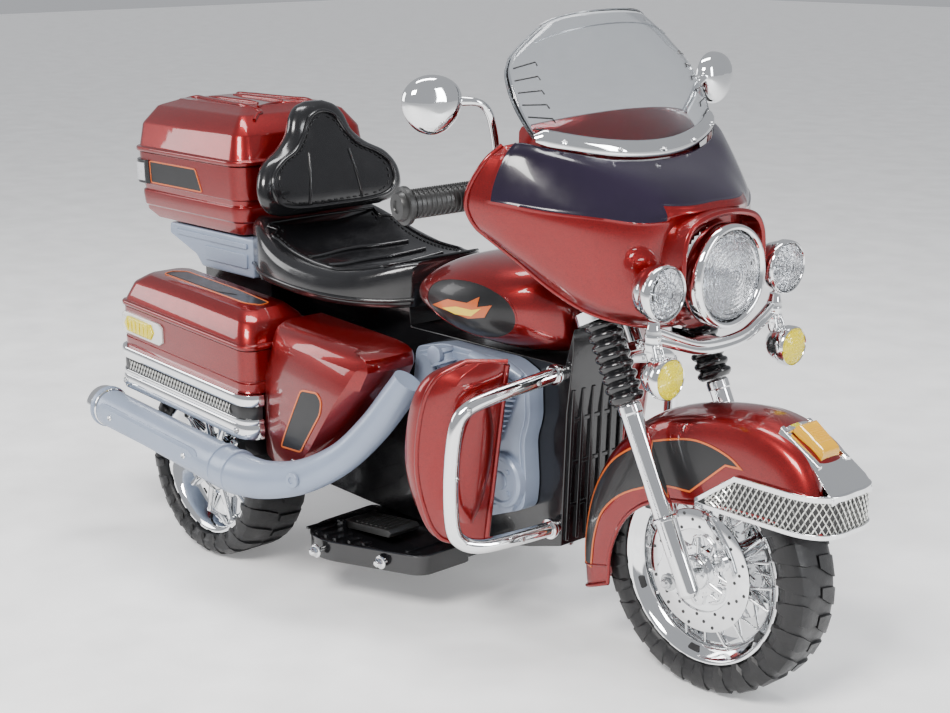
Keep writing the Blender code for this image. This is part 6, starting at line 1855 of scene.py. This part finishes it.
def make_trunk():
    floor, seam = .4446, .547

    def tub(bm):
        outer = [box_ring(-.03, floor, rear=-.263), box_ring(-.018, floor + .003, rear=-.267),
                 box_ring(-.0125, floor + .014), box_ring(-.0115, floor + .0205), box_ring(-.0085, floor + .0225),
                 box_ring(-.0062, floor + .04), box_ring(-.0068, floor + .044), box_ring(-.0098, floor + .0455),
                 box_ring(-.0088, floor + .052), box_ring(-.005, floor + .054), box_ring(-.003, seam - .001)]
        inner = [box_ring(-.0062, seam - .001), box_ring(-.0078, seam - .05),
                 box_ring(-.022, floor + .0042, rear=-.267)]
        add_loft(bm, outer + inner)
    body = one("trunk_tub", tub, RED, C, smooth=40, bevel=.0008, node="trunk_body")
    tree = tree_of(body)

    def decal(bm):
        x0 = REAR_X
        band = [(x0 - .236, seam - .0455), (x0 - .236, seam - .012), (x0 - .114, seam - .012),
                (x0 - .1, seam - .0455)]
        bordered(bm, round_outline(band, .004), (0, -.25, 0), SIDE, tree, .0018, .006)
    both("trunk_decal", decal, [DECAL, ORANGE], C)

    def corner_strip(bm, rows, ahead, behind):
        """A band round the rear right corner: ahead along the side wall, behind along the rear wall."""
        lines = []
        for z, grow in rows:
            corner = [vec(p.x, -p.y, p.z) for p in box_ring(grow, z)[11:22]]
            lines.append([corner[0] + vec(ahead, 0, 0)] + corner + [corner[-1] + vec(0, behind, 0)])
        back = [[vec(p.x + .004, p.y + .004, p.z) for p in line] for line in (lines[-1], lines[0])]
        add_loft(bm, columns(lines + back))

    def frame_ring(bm):
        corner_strip(bm, ((.499, -.006), (.5, .0006), (.535, .001), (.536, -.005)), .014, .016)
    both("trunk_reflector_frame", frame_ring, BLACK, C, smooth=50, bevel=.0008)

    def lens(bm):
        corner_strip(bm, ((.5035, -.002), (.5045, .0018), (.5305, .0022), (.5315, -.002)), .01, .012)
    both("trunk_reflector", lens, PALE, C, smooth=50)

    def lid(bm):
        lip = .0015
        outer = [box_ring(lip - .004, seam), box_ring(lip - .0006, seam + .0006), box_ring(lip, seam + .002),
                 box_ring(lip, seam + .0058), box_ring(lip - .001, seam + .0072), box_ring(-.0035, seam + .008),
                 box_ring(-.0045, seam + .01), box_ring(-.01, seam + .04), box_ring(-.012, seam + .043),
                 box_ring(-.03, seam + .066), box_ring(-.0345, seam + .0684), box_ring(-.052, seam + .0752),
                 box_ring(-.0545, seam + .077), box_ring(-.06, seam + .0766)]
        inner = [box_ring(-.06, seam + .073), box_ring(-.035, seam + .062), box_ring(-.013, seam + .038),
                 box_ring(-.007, seam + .01), box_ring(-.007, seam)]
        add_loft(bm, list(reversed(outer)) + list(reversed(inner)))
        made = [f for f in bm.faces if len(f.verts) > 8]
        for face in made:
            face.smooth = False
    top = one("trunk_lid_shell", lid, RED, "trunk_lid", smooth=30, bevel=.0012, node="trunk_lid")
    tree = tree_of(top)

    def spot(x, y, lift):
        hit, normal, _, _ = tree.ray_cast(at(x, y, .7), vec(0, 0, -1))
        return hit + vec(0, 0, lift)

    def ridges(bm):
        for sign in (-1, 1):
            path = [spot(-.012 - .03 * share, sign * (.098 - .046 * share), .0006) for share in (.55, .8, 1.0)]
            path += [spot(-.075 - .03 * k, sign * (.058 - .004 * k), .0006) for k in range(6)]
            path += [spot(-.244, sign * .05, .0006)]
            add_tube(bm, path, .003, 12, 3)
        add_tube(bm, [spot(-.055, -.047, .0004), spot(-.072, 0, .0004), spot(-.055, .047, .0004)], .0024, 12, 8)
        for sign in (-1, 1):
            add_tube(bm, [spot(-.09 - .025 * k, sign * .022, .0003) for k in range(6)], .0038, 12, 3,
                     [.4] + [1] * 4 + [.4])
    one("trunk_lid_ridges", ridges, RED, "trunk_lid", smooth=60)

    def hinges(bm):
        for y in (-.06, .06):
            add_cyl(bm, at(-.285, y - .014, seam), at(-.285, y + .014, seam), .0022, sides=20)
    one("trunk_hinge_knuckles", hinges, BLACK, "trunk_lid")

    def rack(bm):
        outline = [(-.212, .444), (-.214, .427), (-.145, .4035), (-.13, .3878), (.0005, .3878), (.0005, .444)]
        add_plate(bm, round_outline(shifted(outline), .004), -.1035, .1035)
    one("rack_moulding", rack, GREY, C, bevel=.003, node="rack")

    def rack_trim(bm):
        for sign in (-1, 1):
            y0, y1 = sign * .103, sign * .1062
            for outline in ([(-.196, .4365), (-.012, .4365), (-.012, .429), (-.192, .429)],
                            [(-.12, .421), (-.012, .421), (-.012, .401), (-.118, .401)]):
                add_plate(bm, round_outline(shifted(outline), .003), min(y0, y1), max(y0, y1))
    one("rack_panels", rack_trim, GREY, C, bevel=.001)

    def latch(bm):
        add_box(bm, (REAR_X - .216, -.05, .42), (REAR_X - .2105, .05, .4395))
    one("rack_end_cap", latch, BLACK, C, bevel=.002)


# ---------------------------------------------------------------- saddlebags

def bag_ring(grow, z, rear=-.168, front=.148, inner=.097, outer=.224, corner=.022, steps=8, slope=.055):
    """The right bag's outline at one height, falling towards the front."""
    low_x, high_x, low_y, high_y = rear - grow, front + grow, -outer - grow, -inner + grow
    ring = []
    for quarter in range(4):
        sx = 1 if quarter in (0, 3) else -1
        sy = 1 if quarter in (0, 1) else -1
        for step in range(steps + 1):
            turn = (quarter + step / steps) * pi / 2
            x = (low_x + high_x) / 2 + sx * ((high_x - low_x) / 2 - corner) + corner * cos(turn)
            y = (low_y + high_y) / 2 + sy * ((high_y - low_y) / 2 - corner) + corner * sin(turn)
            ring.append(at(x, y, z - slope * x))
    return ring


def fall(x, y, z):
    """A point that follows the bags' slope."""
    return at(x, y, z - .055 * x)


def make_saddlebags():
    seam, arch = .336, .276

    def tub(bm):
        outer = [bag_ring(-.001, arch), bag_ring(0, arch + .003), bag_ring(0, .29), bag_ring(-.0016, .291),
                 bag_ring(-.0016, .293), bag_ring(0, .294), bag_ring(0, seam - .001)]
        inner = [bag_ring(-.003, seam - .001, corner=.019), bag_ring(-.003, arch + .004, corner=.019)]
        add_loft(bm, outer + inner)
        skirt = []
        for z in (.213, .215, arch + .002):
            grow = -.0006 if z < .214 else 0.0
            skirt.append(bag_ring(grow, z)[8:28])
        inside = [[vec(p.x + (.01 if p.x < REAR_X - .13 else (-.006 if p.x > REAR_X + .14 else 0)),
                           p.y + .0105 if p.y < -.2 else p.y, p.z) for p in row]
                  for row in (skirt[2], skirt[0])]
        add_loft(bm, columns(skirt + inside))
        add_box(bm, (REAR_X - .1665, -.214, .219), (REAR_X - .1455, -.0975, .286))

        def lobe(z, reach, tuck):
            front, outer = .144, .202
            high = front + reach
            back = front - .006 if z < seam - .02 else .153
            ring = [(back, -.101, z), (high - .02, -.101, z), (high - .006, -.104, z), (high, -.111, z),
                    (high + .002, -.135, z), (high + .002, -outer + .034, z), (high - .003, -outer + .018, z),
                    (high - .018, -outer + tuck, z), (front + .03, -outer + tuck - .002, z),
                    (back, -outer + tuck + .01, z)]
            return [fall(*p) for p in ring]
        rings = [lobe(.18, .074, .012), lobe(.183, .082, .006), lobe(.19, .091, .003), lobe(.23, .128, 0),
                 lobe(.265, .152, .0005), lobe(.3, .176, .002), lobe(.325, .196, .004), lobe(.352, .212, .01),
                 lobe(.362, .2115, .0145), lobe(.368, .208, .022), lobe(.372, .198, .031), lobe(.373, .186, .04)]
        add_loft(bm, rings)
    bodies = both("saddlebag_tub", tub, RED, C, node="saddlebag", bevel=.0012)
    tree = tree_of(bodies[0])

    def lid(bm):
        def ring(grow, z, inner_cut, outer_cut, ends, corner=.02):
            return bag_ring(grow, z, rear=-.168 + ends, front=.148 - ends, inner=.097 + inner_cut,
                            outer=.224 - outer_cut, corner=corner)
        outer = [ring(-.001, seam, .003, 0, 0), ring(.0014, seam + .0006, .003, 0, 0),
                 ring(.002, seam + .002, .003, 0, 0),
                 ring(.002, seam + .005, .003, 0, 0), ring(.0012, seam + .0066, .003, 0, 0),
                 ring(-.0008, seam + .0078, .003, .0015, .0015), ring(0, seam + .0095, .0035, .0025, .0025),
                 ring(0, seam + .032, .0165, .011, .0125), ring(0, seam + .035, .0185, .013, .015),
                 ring(0, seam + .044, .0275, .0235, .0275), ring(0, seam + .046, .0305, .0268, .0308)]
        inner = [ring(-.003, seam + .042, .03, .026, .03, .017), ring(-.003, seam + .031, .018, .012, .014, .017),
                 ring(-.003, seam + .007, .003, .002, .002, .017), ring(-.003, seam, .003, .002, .002, .017)]
        add_loft(bm, list(reversed(outer)) + list(reversed(inner)))
    lids = both("saddlebag_lid_shell", lid, RED, "saddlebag_lid_right", "saddlebag_lid_left", "saddlebag_lid",
                smooth=28, bevel=.0012)
    lid_tree = tree_of(lids[0])

    def lid_decal(bm):
        x0 = REAR_X
        field = [(x0 - .118, -.178), (x0 + .082, -.178), (x0 + .104, -.166), (x0 + .1, -.148), (x0 + .02, -.142),
                 (x0 - .11, -.142), (x0 - .124, -.158)]
        bordered(bm, round_outline(field, .006), (0, 0, .5), ABOVE, lid_tree, .0018, .006)
        wedge = [(x0 - .108, -.174), (x0 + .01, -.174), (x0 + .04, -.16), (x0 - .02, -.147), (x0 - .106, -.147)]
        add_patch(bm, wedge, (0, 0, .5), ABOVE, lid_tree, .0013, .006, 2)
    both("saddlebag_lid_decal", lid_decal, [DECAL, ORANGE, DARK_GREY], "saddlebag_lid_right", "saddlebag_lid_left")

    def knob(bm):
        foot = fall(.118, -.112, seam + .018)
        add_rev(bm, [(0, -.004), (.0078, -.004), (.0078, .006), (.0068, .0078), (.004, .0088), (0, .009)], foot,
                (0.0, .15, 1), 32)
    both("saddlebag_knob", knob, RED, "saddlebag_lid_right", "saddlebag_lid_left")

    def side_arc(grow, z, first, last):
        """Part of the bag's outline at one height: from the rear outer corner to the front outer corner."""
        return bag_ring(grow, z, corner=.022 + grow)[first:last]

    def band(bm, low, high, thick, edge=.0016, first=16, last=37):
        rows = [side_arc(.0004, low, first, last), side_arc(thick - edge * .5, low, first, last),
                side_arc(thick, low + edge, first, last), side_arc(thick, high - edge, first, last),
                side_arc(thick - edge * .5, high, first, last), side_arc(.0004, high, first, last)]
        add_loft(bm, columns(rows))

    ring_first, ring_last = 17, 36

    def guard(bm):
        band(bm, .215, .235, .0062, .003, ring_first, ring_last)
        band(bm, .2335, .242, .0048, .0012, ring_first, ring_last)
        band(bm, .261, .276, .007, .0026, ring_first, ring_last)
    both("saddlebag_guard", guard, CHROME, C, smooth=50, node="saddlebag_trim")

    def insert(bm):
        band(bm, .241, .262, .0028, .0008, ring_first, ring_last)
    both("saddlebag_insert", insert, SATIN, C)

    def mesh_strip(bm):
        rows = side_arc(.0042, .245, ring_first, ring_last)
        rows_top = side_arc(.0042, .2585, ring_first, ring_last)
        straight = [(a, b) for a, b in zip(rows, rows_top)]
        low = [a for a, b in straight]
        high = [b for a, b in straight]
        run = [0.0]
        for a, b in zip(low, low[1:]):
            run.append(run[-1] + (b - a).length)

        def spot(distance, share):
            distance = min(max(distance, 0), run[-1])
            k = next(i for i in range(1, len(run)) if run[i] >= distance - 1e-9)
            t = (distance - run[k - 1]) / max(1e-9, run[k] - run[k - 1])
            return low[k - 1].lerp(low[k], t).lerp(high[k - 1].lerp(high[k], t), share)
        count = int(run[-1] * .58 / .007)
        for i in range(count):
            base = run[-1] * .3 + i * .007
            for a, b in ((0, 1), (1, 0)):
                add_tube(bm, [spot(base, a), spot(base + .0035, .5), spot(base + .007, b)], .001, 6, 0)
    both("saddlebag_mesh", mesh_strip, SILVER, C)

    def plate(bm):
        outline = [(-.15, .3285), (-.06, .3285), (-.052, .3235), (-.052, .3025), (-.06, .2975), (-.15, .2975),
                   (-.157, .3025), (-.157, .3235)]
        rings = [[fall(x, depth, z) for x, z in [(x * g + (1 - g) * -.105, z * g + (1 - g) * .313) for x,
                                                 z in outline]]
                 for depth, g in ((-.2236, 1), (-.227, 1), (-.2278, .97))]
        add_loft(bm, rings)
    both("saddlebag_plate", plate, WHITE_PLATE, C, bevel=.0008)

    def marker(bm):
        outline = [(-.14, .3245), (-.076, .3245), (-.068, .313), (-.076, .3015), (-.14, .3015), (-.148, .313)]
        rings = [[fall(-.108 + (x + .108) * g, depth, .313 + (z - .313) * g) for x, z in outline]
                 for depth, g in ((-.2274, .96), (-.2305, .93), (-.2318, .8))]
        add_loft(bm, rings)
        for i in range(6):
            x = -.134 + .0105 * i
            add_tube(bm, [fall(x, -.2316, .304), fall(x, -.2324, .313), fall(x, -.2316, .322)], .0011, 8, 0)
    both("saddlebag_marker", marker, YELLOW_LENS, C, smooth=40, bevel=.0008)

    def lobe_decal(bm):
        x0 = REAR_X
        field = [(x0 + .236, .292), (x0 + .27, .2945), (x0 + .28, .284), (x0 + .277, .266), (x0 + .234, .2055),
                 (x0 + .19, .204)]
        bordered(bm, round_outline(field, .006), (0, -.28, 0), SIDE, tree, .0022, .006)
    both("saddlebag_lobe_decal", lobe_decal, [DECAL, ORANGE], C)

    def screws(bm):
        for x in (-.15, .128):
            add_screw(bm, fall(x, -.23, .2255), (0, -1, 0), .0046)
        add_screw(bm, fall(.213, -.2, .1995), (0, -1, 0), .0042)
    both("saddlebag_screws", screws, STEEL, C)


def make_hidden():
    """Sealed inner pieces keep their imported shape, with better finishes."""
    for node, mat in (("battery", BATTERY), ("drive_gearbox", GREY)):
        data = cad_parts[node].data
        for index in range(len(data.materials)):
            data.materials[index] = mat


# ---------------------------------------------------------------- assembly

for make in (make_fairing, make_dash, make_screen, make_headlight, make_small_lamps, make_lamp_bar, make_handlebar,
             make_mirrors, make_fork, make_fender, make_bumper, make_front_wheel, make_rear_wheels, make_tank,
             make_frame, make_engine, make_leg_shields, make_boards, make_exhausts, make_seat, make_backrest,
             make_trunk, make_saddlebags, make_hidden, make_studio, make_camera):
    make()
